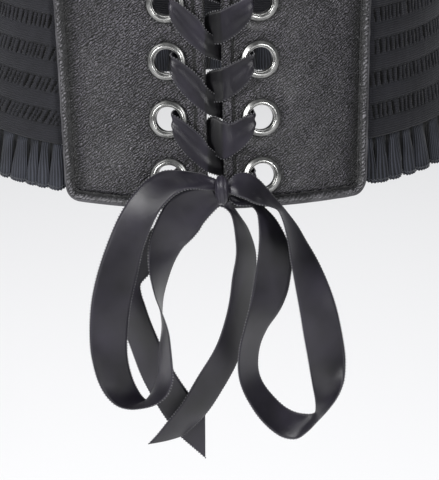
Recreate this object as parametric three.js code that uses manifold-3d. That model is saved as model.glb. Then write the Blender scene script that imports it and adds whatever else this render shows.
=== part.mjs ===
// Corset belt: two leather lacing panels, a shirred elastic wrap with frilled hems,
// twelve grommets, one ribbon lace and the bow it ends in.
// Millimetres. +Z is up, the laced front faces -Y, and +X is to the viewer's right.
// The origin is the centre of the waist, at the narrowest level of the belt.
import * as THREE from 'three';
import { mergeVertices } from 'three/addons/utils/BufferGeometryUtils.js';
import Module from 'manifold-3d';

// Waist section and flare
const waistHalfWidth = 118;
const waistHalfDepth = 98;
const waistAboveBottom = 110;
const beltHeight = 169;
const lowerFlare = 0.225;
const upperFlare = 0.12;
const flareEasing = 12;

// Leather panels
const frontGap = 7.6;
const panelThickness = 2.2;
const panelStandoff = 0.3;
const panelReachAtBottom = 76.4;
const panelReachPerHeight = 0.048;

// Edge binding round the outer, top and bottom edges of each panel
const bindingWidth = 4.4;
const bindingThickness = 3.5;
const seamGap = 0.3;
const innerCornerRadius = 2.8;

// Grommets
const eyeletRows = 6;
const firstEyeletOffset = 14.8;
const lastEyeletOffset = 13.7;
const eyeletSideOffset = 22.4;
const eyeletOuterRadius = 9.3;
const eyeletHoleRadius = 6.1;
const eyeletBarrelWall = 0.55;
const eyeletRise = 1.25;
const eyeletFrontGap = 0.5;
const eyeletBackRadius = 8.2;
const eyeletBackReach = 1.15;
const eyeletHoleClearance = 0.45;
const holeCellMargin = 0.7;
const eyeletSegments = 14;

// Elastic wrap: raised elastic bands with narrow gathered rows between them
const elasticThickness = 1.3;
const bandHeight = 9.6;
const bandCount = 8;
const bandRise = 1.5;
const gatherRise = 0.35;
const tuckLength = 8;
const wrapSteps = 20;

// Frilled hems
const frillHeight = 20.2;
const bottomHemOffset = 5.2;
const topHemOffset = 4.3;
const reliefStart = 0.8;
const reliefRun = 4;
const frillThickness = 1.1;
const frillFoldPitch = 10.35;
const frillFoldDepth = 1.7;
const frillLift = 1.9;

// Ribbon of the lace and the bow
const ribbonThickness = 0.8;
const laceBunching = 1.41;
const laceClearance = 1.1;

// Bow knot, measured from the middle of the bottom edge of the front
const knotHeight = 11.6;
const knotForwardOffset = 8.2;
const knotSideOffset = 2.7;
const knotHalfWidth = 3.3;
const knotHalfHeight = 7.3;
const knotHalfDepth = 4.6;
const knotSeatGap = 0.25;

const bottomLevel = -waistAboveBottom;
const topLevel = beltHeight - waistAboveBottom;
const panelBack = panelStandoff;
const panelFront = panelStandoff + panelThickness;
const cornerRadius = bindingWidth + seamGap + innerCornerRadius;
const eyeletPitch = (beltHeight - firstEyeletOffset - lastEyeletOffset) / (eyeletRows - 1);
const leatherHoleRadius = eyeletHoleRadius + eyeletBarrelWall + eyeletHoleClearance;
const holeCell = leatherHoleRadius + holeCellMargin;

const looks = {
  leather: { color: 0x3a3a40, roughness: 0.5, metalness: 0 },
  binding: { color: 0x45454b, roughness: 0.55, metalness: 0 },
  elastic: { color: 0x2c2e35, roughness: 0.85, metalness: 0 },
  frill: { color: 0x2a2c33, roughness: 0.85, metalness: 0 },
  satin: { color: 0x26252a, roughness: 0.35, metalness: 0 },
  pewter: { color: 0xa9a8a2, roughness: 0.3, metalness: 1 },
};

const group = new THREE.Group();
group.name = 'corset_belt';

// The belt stands further from the body axis the further it is from the waist
function flareAt(z) {
  const slope = z < 0 ? lowerFlare : upperFlare;
  return Math.sqrt((slope * z) ** 2 + flareEasing ** 2) - flareEasing;
}

// Distance along the section from the front centre, tabulated once for each level
const arcTables = new Map();
const arcSteps = 720;

function arcTable(z) {
  const key = z.toFixed(4);
  if (arcTables.has(key)) return arcTables.get(key);
  const a = waistHalfWidth + flareAt(z);
  const b = waistHalfDepth + flareAt(z);
  const lengths = new Float64Array(arcSteps + 1);
  let x0 = 0;
  let y0 = -b;
  for (let i = 1; i <= arcSteps; i += 1) {
    const t = (Math.PI * i) / arcSteps;
    const x = a * Math.sin(t);
    const y = -b * Math.cos(t);
    lengths[i] = lengths[i - 1] + Math.hypot(x - x0, y - y0);
    x0 = x;
    y0 = y;
  }
  const table = { a, b, lengths, half: lengths[arcSteps] };
  arcTables.set(key, table);
  return table;
}

// Point at arc distance s (to +X), level z and distance w out from the body surface
function onBody(s, z, w) {
  const table = arcTable(z);
  const around = 2 * table.half;
  let distance = s;
  while (distance > table.half) distance -= around;
  while (distance < -table.half) distance += around;
  const side = distance < 0 ? -1 : 1;
  const wanted = Math.abs(distance);
  let low = 0;
  let high = arcSteps;
  while (high - low > 1) {
    const middle = (low + high) >> 1;
    if (table.lengths[middle] <= wanted) low = middle;
    else high = middle;
  }
  const part = (wanted - table.lengths[low]) / (table.lengths[high] - table.lengths[low]);
  const t = side * ((Math.PI * (low + part)) / arcSteps);
  const x = table.a * Math.sin(t);
  const y = -table.b * Math.cos(t);
  const nx = Math.sin(t) / table.a;
  const ny = -Math.cos(t) / table.b;
  const size = Math.hypot(nx, ny);
  return new THREE.Vector3(x + (w * nx) / size, y + (w * ny) / size, z);
}

// Square axes on the body surface: along the arc, up the wall and straight out
function axesAt(s, z) {
  const along = onBody(s + 0.5, z, 0).sub(onBody(s - 0.5, z, 0)).normalize();
  const rise = onBody(s, z + 0.5, 0).sub(onBody(s, z - 0.5, 0)).normalize();
  const out = new THREE.Vector3().crossVectors(along, rise).normalize();
  const up = new THREE.Vector3().crossVectors(out, along).normalize();
  return { along, up, out };
}

function signedVolume(points, triangles) {
  let total = 0;
  for (let i = 0; i < triangles.length; i += 3) {
    const a = points[triangles[i]];
    const b = points[triangles[i + 1]];
    const c = points[triangles[i + 2]];
    total += a.dot(new THREE.Vector3().crossVectors(b, c));
  }
  return total / 6;
}

function toGeometry(points, triangles) {
  const flat = new Float32Array(points.length * 3);
  points.forEach((p, i) => p.toArray(flat, i * 3));
  const order = signedVolume(points, triangles) < 0 ? triangles.slice().reverse() : triangles;
  const geometry = new THREE.BufferGeometry();
  geometry.setAttribute('position', new THREE.BufferAttribute(flat, 3));
  geometry.setIndex(order);
  return geometry;
}

function add(name, geometry, look) {
  const finished = geometry;
  finished.computeVertexNormals();
  const mesh = new THREE.Mesh(finished, new THREE.MeshStandardMaterial(look));
  mesh.name = name;
  group.add(mesh);
  return mesh;
}

// Cap of a convex section
function fanCap(count) {
  const faces = [];
  for (let i = 1; i + 1 < count; i += 1) faces.push([0, i, i + 1]);
  return faces;
}

// Cap of a wall section: front levels going up, then back levels coming down
function wallCap(frontLevels, backLevels) {
  const faces = [];
  const total = frontLevels.length + backLevels.length;
  let i = 0;
  let j = 0;
  while (i < frontLevels.length - 1 || j < backLevels.length - 1) {
    const back = total - 1 - j;
    const nextFront = i < frontLevels.length - 1 ? frontLevels[i + 1] : Infinity;
    const nextBack = j < backLevels.length - 1 ? backLevels[backLevels.length - 2 - j] : Infinity;
    if (nextFront <= nextBack) {
      faces.push([i, i + 1, back]);
      i += 1;
    } else {
      faces.push([i, back - 1, back]);
      j += 1;
    }
  }
  return faces;
}

// Solid skin over a row of closed sections with equal point counts, closed by the same cap at each
// end. The two faces of a wall split their quads along the same diagonal, so that they never cross.
function loftSolid(sections, cap) {
  const count = sections[0].length;
  const points = sections.flat();
  const sides = [];
  const edges = new Set();
  for (let i = 0; i + 1 < sections.length; i += 1) {
    for (let j = 0; j < count; j += 1) {
      const k = (j + 1) % count;
      const a = i * count + j;
      const b = i * count + k;
      const c = (i + 1) * count + j;
      const d = (i + 1) * count + k;
      if (j < count / 2) sides.push(a, c, b, b, c, d);
      else sides.push(a, c, d, a, d, b);
      if (i === 0) edges.add(`${b}_${a}`);
    }
  }
  const last = (sections.length - 1) * count;
  const start = cap.flatMap(([a, b, c]) => [a, b, c]);
  let turned = false;
  cap.forEach(([a, b, c]) => {
    if (edges.has(`${a}_${b}`) || edges.has(`${b}_${c}`) || edges.has(`${c}_${a}`)) turned = true;
  });
  const first = turned ? start.slice().reverse() : start;
  const end = first.slice().reverse().map((index) => index + last);
  return toGeometry(points, sides.concat(first, end));
}

function spread(from, to, steps) {
  const values = [];
  for (let i = 0; i <= steps; i += 1) values.push(from + ((to - from) * i) / steps);
  return values;
}

// Arc distance from the front centre to the outer edge of a panel
function panelReach(z) {
  return panelReachAtBottom + panelReachPerHeight * (z - bottomLevel);
}

// Edge line of a panel, set in by a margin: inner bottom corner, round the outside, inner top corner
function edgeLine(margin, sideSteps, endSteps, cornerSteps) {
  const radius = cornerRadius - margin;
  const line = [];
  const low = bottomLevel + margin;
  const high = topLevel - margin;
  const lowCentre = panelReach(bottomLevel) - cornerRadius;
  const highCentre = panelReach(topLevel) - cornerRadius;
  spread(frontGap / 2, lowCentre, endSteps).forEach((s) => line.push([s, low]));
  for (let i = 1; i <= cornerSteps; i += 1) {
    const turn = (Math.PI / 2) * (i / cornerSteps);
    const s = lowCentre + radius * Math.sin(turn);
    line.push([s, bottomLevel + cornerRadius - radius * Math.cos(turn)]);
  }
  spread(bottomLevel + cornerRadius, topLevel - cornerRadius, sideSteps).slice(1, -1).forEach((z) => {
    line.push([panelReach(z) - margin, z]);
  });
  for (let i = 0; i <= cornerSteps; i += 1) {
    const turn = (Math.PI / 2) * (i / cornerSteps);
    const s = highCentre + radius * Math.cos(turn);
    line.push([s, topLevel - cornerRadius + radius * Math.sin(turn)]);
  }
  spread(highCentre, frontGap / 2, endSteps).slice(1).forEach((s) => line.push([s, high]));
  return line;
}

const eyeletPlaces = [];
for (let row = 0; row < eyeletRows; row += 1) {
  eyeletPlaces.push(bottomLevel + firstEyeletOffset + eyeletPitch * (eyeletRows - 1 - row));
}

const wasm = await Module();
wasm.setup();

function toManifold(geometry) {
  const plain = geometry.clone();
  plain.deleteAttribute('normal');
  plain.deleteAttribute('uv');
  const merged = mergeVertices(plain, 1e-4);
  return new wasm.Manifold(new wasm.Mesh({
    numProp: 3,
    vertProperties: new Float32Array(merged.attributes.position.array),
    triVerts: new Uint32Array(merged.index.array),
  }));
}

function fromManifold(solid) {
  const mesh = solid.getMesh();
  const geometry = new THREE.BufferGeometry();
  geometry.setAttribute('position', new THREE.BufferAttribute(mesh.vertProperties, 3));
  geometry.setIndex(new THREE.BufferAttribute(mesh.triVerts, 1));
  return geometry;
}

// Levels of a panel as shares of its height, so that each grommet hole lies inside one cell
function panelRows() {
  const margin = bindingWidth + seamGap;
  const low = bottomLevel + margin;
  const high = topLevel - margin;
  const rows = [0];
  eyeletPlaces.slice().reverse().forEach((z) => {
    rows.push((z - holeCell - low) / (high - low));
    rows.push((z + holeCell - low) / (high - low));
  });
  rows.push(1);
  return rows;
}

const drillLength = 7 * panelThickness;

// Leather panel: a curved wall with rounded outer corners and one round hole for each grommet
function panelGeometry(side) {
  const margin = bindingWidth + seamGap;
  const round = cornerRadius - margin;
  const inner = frontGap / 2;
  const atBottom = panelReach(bottomLevel) - margin;
  const firstColumn = (eyeletSideOffset - holeCell - inner) / (atBottom - inner);
  const secondColumn = (eyeletSideOffset + holeCell - inner) / (atBottom - inner);
  const shares = [0, firstColumn].concat(spread(secondColumn, 0.965, 5), [1]);
  const rows = panelRows();
  const sections = shares.map((share) => {
    const reach = inner + (atBottom - inner) * share;
    const past = Math.max(0, reach - (panelReach(bottomLevel) - cornerRadius));
    const lift = round - Math.sqrt(Math.max(0, round ** 2 - past ** 2));
    const low = bottomLevel + margin + lift;
    const high = topLevel - margin - lift;
    const line = rows.map((row) => {
      const z = low + (high - low) * row;
      const widen = share <= secondColumn ? atBottom : panelReach(z) - margin;
      return [inner + (widen - inner) * share, z];
    });
    const front = line.map(([s, z]) => onBody(side * s, z, panelFront));
    const back = line.map(([s, z]) => onBody(side * s, z, panelBack));
    return front.concat(back.reverse());
  });
  const cap = wallCap(rows, rows.slice().reverse());
  let solid = toManifold(loftSolid(sections, cap));
  eyeletPlaces.forEach((z) => {
    const { out } = axesAt(side * eyeletSideOffset, z);
    const radius = leatherHoleRadius;
    const drill = new THREE.CylinderGeometry(radius, radius, drillLength, eyeletSegments);
    const turn = new THREE.Quaternion().setFromUnitVectors(new THREE.Vector3(0, 1, 0), out);
    drill.applyQuaternion(turn);
    const centre = onBody(side * eyeletSideOffset, z, panelBack);
    drill.translate(centre.x, centre.y, centre.z);
    solid = solid.subtract(toManifold(drill));
  });
  return fromManifold(solid);
}

// Binding: a plump folded strip that follows the edge of the panel
function bindingGeometry(side) {
  const w = bindingWidth;
  const t = bindingThickness;
  const shape = [
    [0, t * 0.3],
    [w * 0.12, t * 0.75],
    [w * 0.5, t],
    [w * 0.88, t * 0.8],
    [w, t * 0.3],
    [w * 0.5, 0],
  ];
  const paths = shape.map(([inset]) => edgeLine(inset, 9, 6, 4));
  const sections = paths[0].map((start, i) => shape.map(([, height], j) => {
    const [s, z] = paths[j][i];
    return onBody(side * s, z, panelStandoff + height);
  }));
  return loftSolid(sections, fanCap(shape.length));
}

[['left', -1], ['right', 1]].forEach(([word, side]) => {
  add(`${word}_leather_panel`, panelGeometry(side), looks.leather);
  add(`${word}_edge_binding`, bindingGeometry(side), looks.binding);
});

// Grommet: a rolled ring in front, a barrel through the leather and a thin washer behind
function eyeletGeometry(side, z) {
  const front = panelThickness + eyeletFrontGap;
  const shape = [
    [eyeletHoleRadius, -eyeletBackReach],
    [eyeletBackRadius, -eyeletBackReach / 2],
    [eyeletHoleRadius + eyeletBarrelWall, -eyeletBackReach / 2],
    [eyeletHoleRadius + eyeletBarrelWall, front],
    [eyeletOuterRadius, front],
    [eyeletOuterRadius - 1.1, front + eyeletRise],
    [eyeletHoleRadius + 0.6, front + eyeletRise * 0.85],
  ];
  const { along, up, out } = axesAt(side * eyeletSideOffset, z);
  const centre = onBody(side * eyeletSideOffset, z, panelBack);
  const points = [];
  const triangles = [];
  for (let i = 0; i < eyeletSegments; i += 1) {
    const turn = (2 * Math.PI * i) / eyeletSegments;
    shape.forEach(([radius, height]) => {
      const p = centre.clone();
      p.addScaledVector(along, radius * Math.cos(turn));
      p.addScaledVector(up, radius * Math.sin(turn));
      p.addScaledVector(out, height);
      points.push(p);
    });
  }
  const count = shape.length;
  for (let i = 0; i < eyeletSegments; i += 1) {
    const next = (i + 1) % eyeletSegments;
    for (let j = 0; j < count; j += 1) {
      const k = (j + 1) % count;
      const a = i * count + j;
      const b = i * count + k;
      const c = next * count + j;
      const d = next * count + k;
      triangles.push(a, c, b, b, c, d);
    }
  }
  return toGeometry(points, triangles);
}

[['left', -1], ['right', 1]].forEach(([word, side]) => {
  eyeletPlaces.forEach((z, row) => {
    add(`${word}_eyelet_${row + 1}`, eyeletGeometry(side, z), looks.pewter);
  });
});

// Arc distance at a share of the way round the back, from under one panel to under the other
function wrapArc(z, share) {
  const start = panelReach(z) - tuckLength;
  const around = 2 * arcTable(z).half;
  return start + (around - 2 * start) * share;
}

// How far the relief of the elastic is raised: nothing under the panels, all of it beyond them
function reliefShare(z, share) {
  const start = panelReach(z) - tuckLength;
  const around = 2 * arcTable(z).half - 2 * start;
  const near = Math.min(share, 1 - share) * around;
  const past = (near - tuckLength - reliefStart) / reliefRun;
  return Math.min(1, Math.max(0, past));
}

// Shares of the way round at which the wall is still flat, leaves the panel and has its full relief
const waistWrap = 2 * arcTable(0).half - 2 * (panelReach(0) - tuckLength);
const flatShare = (tuckLength * 0.5) / waistWrap;
const leaveShare = (tuckLength + reliefStart / 8) / waistWrap;
const fullShare = (tuckLength + reliefStart + reliefRun * 0.875) / waistWrap;

// Stations round the wrap, closer together where the wall goes under the panels
function wrapShares() {
  const ends = [0, flatShare, leaveShare, fullShare];
  const middle = spread(fullShare, 1 - fullShare, wrapSteps).slice(1, -1);
  return ends.concat(middle, ends.map((share) => 1 - share).reverse());
}

const wrapBottom = bottomLevel + bottomHemOffset + frillHeight + seamGap;
const wrapTop = topLevel - topHemOffset - frillHeight - seamGap;
const bandPitch = (wrapTop - wrapBottom - bandHeight) / (bandCount - 1);

function elasticGeometry() {
  const relief = [];
  for (let i = 0; i < bandCount; i += 1) {
    const low = wrapBottom + bandPitch * i;
    relief.push({ z: low, rise: gatherRise });
    relief.push({ z: low + bandHeight * 0.16, rise: bandRise });
    relief.push({ z: low + bandHeight * 0.84, rise: bandRise });
    relief.push({ z: low + bandHeight, rise: gatherRise });
  }
  const backLevels = spread(wrapTop, wrapBottom, 5);
  const sections = wrapShares().map((share) => {
    const section = relief.map(({ z, rise }) => {
      const raised = rise * reliefShare(z, share);
      return onBody(wrapArc(z, share), z, raised);
    });
    backLevels.forEach((z) => section.push(onBody(wrapArc(z, share), z, -elasticThickness)));
    return section;
  });
  return loftSolid(sections, wallCap(relief.map(({ z }) => z), backLevels));
}

add('elastic_wrap', elasticGeometry(), looks.elastic);

// Frill: gathered flat where it is sewn on, standing out in folds at the hem
function frillGeometry(seam, hem) {
  const start = panelReach(hem) - tuckLength;
  const length = 2 * arcTable(hem).half - 2 * start;
  const folds = Math.round(length / frillFoldPitch);
  const shares = [0, flatShare];
  const waves = [0, 0];
  for (let i = 2; i < folds - 2; i += 1) {
    [[0, -0.9], [0.3, 1], [0.7, 1]].forEach(([part, wave]) => {
      shares.push((i + part) / folds);
      waves.push(wave);
    });
  }
  shares.push(1 - flatShare, 1);
  waves.push(0, 0);
  const sections = shares.map((share, i) => {
    const raised = reliefShare(hem, share);
    const out = raised * (frillLift + frillFoldDepth * waves[i]);
    const seamOut = raised * gatherRise;
    return [
      onBody(wrapArc(hem, share), hem, out),
      onBody(wrapArc(seam, share), seam, seamOut),
      onBody(wrapArc(seam, share), seam, seamOut - frillThickness),
      onBody(wrapArc(hem, share), hem, out - frillThickness),
    ];
  });
  return loftSolid(sections, fanCap(4));
}

const lowerSeam = wrapBottom - seamGap;
const upperSeam = wrapTop + seamGap;
add('bottom_frill', frillGeometry(lowerSeam, bottomLevel + bottomHemOffset), looks.frill);
add('top_frill', frillGeometry(upperSeam, upperSeam + frillHeight), looks.frill);

// Flat strip through pairs of edge points, ribbonThickness thick
function ribbonGeometry(pairs) {
  const middles = pairs.map(([a, b]) => a.clone().add(b).multiplyScalar(0.5));
  const sections = pairs.map(([a, b], i) => {
    const before = middles[Math.max(0, i - 1)];
    const after = middles[Math.min(middles.length - 1, i + 1)];
    const ahead = after.clone().sub(before).normalize();
    const across = b.clone().sub(a).normalize();
    const face = new THREE.Vector3().crossVectors(ahead, across).normalize();
    const half = face.multiplyScalar(ribbonThickness / 2);
    return [a.clone().add(half), b.clone().add(half), b.clone().sub(half), a.clone().sub(half)];
  });
  return loftSolid(sections, fanCap(4));
}

// Lace route past one grommet, from the back of the hole to the gap in the middle.
// toGap is how far the station is from the grommet towards the middle, as a share of eyeletSideOffset,
// up how far above its centre as a share of eyeletPitch, and width a share of the lace's width in
// a hole. level is negative behind the panel, 0 to 1 through it and 1 to 2 over its front.
// lean tips the ribbon's upper edge towards the gap.
const laceWidthInHole = eyeletHoleRadius * laceBunching;
const laceDip = eyeletBackReach + ribbonThickness / 2 + laceClearance;
const laceArch = eyeletFrontGap + eyeletRise + ribbonThickness / 2 + laceClearance;
const steepRun = [
  { toGap: 0.536, up: 0.021, level: -0.84, width: 1.05, lean: 0.00 },
  { toGap: 0.268, up: 0.000, level: -1.00, width: 1.02, lean: 0.00 },
  { toGap: 0.125, up: -0.014, level: -0.56, width: 1.00, lean: 0.00 },
  { toGap: 0.098, up: -0.018, level: 0.64, width: 1.00, lean: 0.00 },
  { toGap: 0.107, up: -0.018, level: 1.70, width: 0.95, lean: 0.00 },
  { toGap: 0.205, up: -0.100, level: 2.00, width: 1.14, lean: 0.25 },
  { toGap: 0.375, up: -0.263, level: 1.88, width: 1.23, lean: 0.50 },
  { toGap: 0.598, up: -0.484, level: 1.55, width: 1.28, lean: 0.55 },
  { toGap: 0.839, up: -0.726, level: 1.45, width: 1.21, lean: 0.12 },
  { toGap: 1.000, up: -0.868, level: 0.61, width: 1.02, lean: 0.00 },
  { toGap: 1.161, up: -0.932, level: -0.46, width: 1.02, lean: 0.00 },
];
const shallowRun = [
  { toGap: 0.536, up: 0.149, level: -0.84, width: 1.05, lean: 0.00 },
  { toGap: 0.268, up: 0.043, level: -1.00, width: 1.02, lean: 0.00 },
  { toGap: 0.161, up: 0.007, level: -0.56, width: 0.86, lean: 0.00 },
  { toGap: 0.147, up: -0.007, level: 0.64, width: 0.84, lean: 0.00 },
  { toGap: 0.161, up: -0.014, level: 1.70, width: 0.84, lean: 0.00 },
  { toGap: 0.241, up: -0.071, level: 2.00, width: 1.23, lean: 0.08 },
  { toGap: 0.420, up: -0.185, level: 1.88, width: 1.53, lean: 0.15 },
  { toGap: 0.607, up: -0.299, level: 1.52, width: 1.65, lean: 0.16 },
  { toGap: 0.839, up: -0.434, level: 1.45, width: 1.40, lean: 0.05 },
  { toGap: 1.000, up: -0.523, level: 0.61, width: 1.02, lean: 0.00 },
  { toGap: 1.161, up: -0.619, level: -0.46, width: 1.02, lean: 0.00 },
];
const stepsInHole = 5;

// Last run of each lace end: over the panel to the back of the knot
const knotLean = flareAt(bottomLevel) - flareAt(bottomLevel + knotHeight);
const knotBack = panelThickness + knotForwardOffset - knotHalfDepth + knotLean;
const knotSeat = 1 + (knotBack - ribbonThickness / 2 - knotSeatGap - panelThickness) / laceArch;
const knotShare = (knotHeight - firstEyeletOffset) / eyeletPitch;
const steepEnd = [
  { toGap: 0.312, up: -0.078, level: 2.00, width: 0.98, lean: 0.10 },
  { toGap: 0.580, up: -0.078, level: 1.88, width: 0.86, lean: 0.05 },
  { toGap: 0.85, up: -0.09, level: knotSeat * 0.8, width: 0.74, lean: 0 },
  { toGap: 1.05, up: knotShare, level: knotSeat, width: 0.65, lean: 0 },
];
const shallowEnd = [
  { toGap: 0.312, up: -0.078, level: 2.00, width: 1.00, lean: 0.10 },
  { toGap: 0.536, up: -0.078, level: 1.88, width: 0.86, lean: 0.05 },
  { toGap: 0.71, up: -0.09, level: knotSeat * 0.87, width: 0.74, lean: 0 },
  { toGap: 0.84, up: knotShare, level: knotSeat, width: 0.65, lean: 0 },
];

function laceOut(level) {
  if (level < 0) return level * laceDip;
  if (level <= 1) return level * panelThickness;
  return panelThickness + (level - 1) * laceArch;
}

function lacePair(side, row, step) {
  const s = side * eyeletSideOffset * (1 - step.toGap);
  const z = eyeletPlaces[row] + eyeletPitch * step.up;
  const middle = onBody(s, z, panelBack + laceOut(step.level));
  const { along, up } = axesAt(s, z);
  const across = up.clone().addScaledVector(along, -side * step.lean).normalize();
  const half = across.multiplyScalar((laceWidthInHole * step.width) / 2);
  return [middle.clone().add(half), middle.clone().sub(half)];
}

// One half of the lace, from the back of its top grommet down to the knot
function laceHalf(startSide) {
  const pairs = [];
  for (let row = 0; row < eyeletRows; row += 1) {
    const side = row % 2 === 0 ? startSide : -startSide;
    const run = side < 0 ? steepRun : shallowRun;
    const cameSteep = side > 0;
    const first = row === 0 ? 1 : 0;
    const last = row === eyeletRows - 1 ? stepsInHole : run.length;
    for (let i = first; i < last; i += 1) {
      const step = { ...run[i] };
      if (i === 0) step.up = cameSteep ? steepRun[0].up : shallowRun[0].up;
      if (i === 1 && row > 0) step.up = cameSteep ? steepRun[1].up : shallowRun[1].up;
      if (i === 1 && row === 0) step.up = 0;
      pairs.push(lacePair(side, row, step));
    }
    if (row === eyeletRows - 1) {
      const end = side < 0 ? steepEnd : shallowEnd;
      end.forEach((step) => pairs.push(lacePair(side, row, step)));
    }
  }
  return pairs;
}

const topBar = { toGap: 1, up: 0, level: -0.64, width: 1.02, lean: 0 };
const lacePairs = laceHalf(-1).reverse();
lacePairs.push(lacePair(-1, 0, topBar));
laceHalf(1).forEach((pair) => lacePairs.push(pair));
add('lacing_ribbon', ribbonGeometry(lacePairs), looks.satin);

// The bow hangs from the knot in front of the bottom edge. Each row gives the two edges of the
// ribbon: outer edge across, up and forward, then inner edge across, up and forward, measured
// from the middle of the bottom edge of the panels' front face.
const leftLoopTable = [
  [  -0.7,   18.0,    6.5,   -0.8,   12.8,    8.5],
  [  -6.2,   20.0,    6.0,   -4.9,   14.4,   12.0],
  [ -12.4,   21.2,    5.5,   -9.6,   15.7,   14.5],
  [ -19.2,   22.1,    5.0,  -14.9,   15.9,   16.0],
  [ -26.0,   21.7,    4.5,  -19.8,   13.9,   16.5],
  [ -32.1,   18.3,    4.5,  -24.2,    9.7,   16.5],
  [ -37.1,   13.7,    5.0,  -27.7,    4.8,   16.0],
  [ -41.8,    8.2,    6.0,  -30.8,   -1.7,   15.0],
  [ -46.9,    0.5,    7.0,  -33.7,   -8.4,   14.0],
  [ -51.3,   -8.4,    8.0,  -36.1,  -14.9,   13.0],
  [ -58.2,  -26.5,   10.5,  -39.4,  -28.9,   11.5],
  [ -62.5,  -44.7,   12.0,  -43.7,  -47.1,   11.0],
  [ -63.5,  -64.8,   13.5,  -45.6,  -68.3,   10.5],
  [ -62.5,  -74.0,   14.5,  -45.1,  -77.5,    9.5],
  [ -60.3,  -83.2,   15.5,  -43.3,  -86.1,    8.5],
  [ -56.5,  -90.7,   17.0,  -41.0,  -92.5,    7.0],
  [ -51.3,  -96.0,   17.5,  -39.0,  -97.2,    4.5],
  [ -45.4,  -97.9,   17.8,  -37.3,  -99.8,    2.2],
  [ -38.9,  -97.5,   17.8,  -35.9,  -98.8,    0.2],
  [ -33.0,  -96.2,   16.8,  -34.5,  -96.6,   -0.8],
  [ -27.4,  -92.6,   15.5,  -32.9,  -92.3,   -1.5],
  [ -24.1,  -86.6,   14.5,  -31.1,  -85.9,   -2.5],
  [ -22.9,  -78.8,   14.0,  -29.8,  -78.3,   -3.0],
  [ -24.6,  -61.0,   13.7,  -28.7,  -65.5,   -4.7],
  [ -27.8,  -49.7,   13.2,  -28.5,  -55.8,   -5.2],
  [ -31.2,  -39.0,   13.0,  -27.0,  -45.3,   -5.0],
  [ -33.5,  -25.5,   11.8,  -22.7,  -31.6,   -3.8],
  [ -32.7,  -12.4,    9.5,  -16.8,  -19.4,    0.5],
  [ -30.5,   -5.5,    8.0,  -14.0,  -15.4,    3.0],
  [ -27.0,    1.8,    7.0,  -11.3,  -11.9,    5.0],
  [ -22.5,    7.6,    6.0,   -8.7,   -8.5,    6.0],
  [ -17.5,   10.8,    6.0,   -7.0,   -5.7,    6.0],
  [ -12.2,   12.5,    6.0,   -5.2,   -2.3,    6.0],
  [  -6.8,   12.9,    6.0,   -3.2,    0.2,    6.0],
  [  -1.5,   11.9,    6.5,    0.1,    5.4,    6.5],
];

const rightLoopTable = [
  [   5.8,   16.8,    8.0,    5.9,   11.7,   10.0],
  [  10.0,   19.7,    5.5,   10.5,   11.2,   13.5],
  [  15.1,   19.8,    4.5,   14.8,    9.7,   14.5],
  [  20.2,   16.5,    3.5,   19.1,    7.9,   15.5],
  [  24.5,   11.3,    2.0,   22.9,    7.6,   17.0],
  [  28.1,    6.0,    1.0,   26.0,    6.9,   18.0],
  [  31.5,    1.1,    0.5,   28.8,    5.4,   18.5],
  [  35.6,   -4.6,    0.8,   30.7,    1.5,   18.2],
  [  39.9,  -10.3,    1.0,   32.8,   -4.5,   18.0],
  [  44.2,  -17.2,    2.2,   34.7,  -12.1,   17.8],
  [  48.5,  -25.2,    3.5,   35.6,  -21.1,   16.5],
  [  56.4,  -44.8,    6.5,   38.9,  -43.2,   13.5],
  [  61.5,  -68.6,    9.5,   42.7,  -68.9,   10.5],
  [  62.2,  -78.5,   11.5,   44.5,  -80.5,    8.5],
  [  61.3,  -87.1,   14.0,   46.3,  -91.3,    6.0],
  [  58.3,  -94.0,   15.5,   47.5, -100.1,    3.5],
  [  53.5, -100.4,   16.5,   47.8, -105.9,    1.5],
  [  47.7, -107.1,   16.5,   47.4, -109.4,    0.5],
  [  42.8, -112.9,   15.5,   45.7, -110.1,    0.5],
  [  37.3, -117.5,   13.5,   41.9, -109.9,    0.5],
  [  30.9, -117.1,   12.2,   37.4, -109.1,   -0.2],
  [  24.4, -113.0,   11.2,   32.4, -106.8,   -1.2],
  [  18.3, -106.4,   10.5,   27.7, -103.1,   -2.5],
  [  13.2,  -96.8,   10.5,   23.3,  -97.4,   -3.5],
  [  10.4,  -87.5,   10.5,   20.4,  -90.9,   -4.5],
  [   9.3,  -78.3,   10.5,   19.2,  -83.0,   -4.5],
  [   9.9,  -68.7,   10.5,   20.1,  -74.1,   -4.5],
  [  12.1,  -59.9,   10.0,   23.9,  -64.8,   -4.0],
  [  14.2,  -51.8,    9.0,   29.0,  -56.7,   -3.0],
  [  16.0,  -44.5,    7.5,   32.7,  -49.0,   -1.5],
  [  17.6,  -37.2,    6.0,   35.2,  -40.5,    0.0],
  [  20.0,  -20.9,    5.0,   36.2,  -23.5,    1.0],
  [  20.4,   -4.4,    7.5,   29.9,   -7.4,    0.5],
  [  19.4,    0.9,    8.0,   25.6,   -1.4,    1.0],
  [  16.7,    3.8,    8.0,   20.7,    3.2,    2.0],
  [  12.9,    4.2,    8.0,   14.9,    6.0,    3.0],
  [   9.0,    4.8,    7.5,   10.6,    8.1,    4.5],
  [   6.4,    7.0,    7.0,    6.9,    9.7,    6.0],
];

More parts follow.
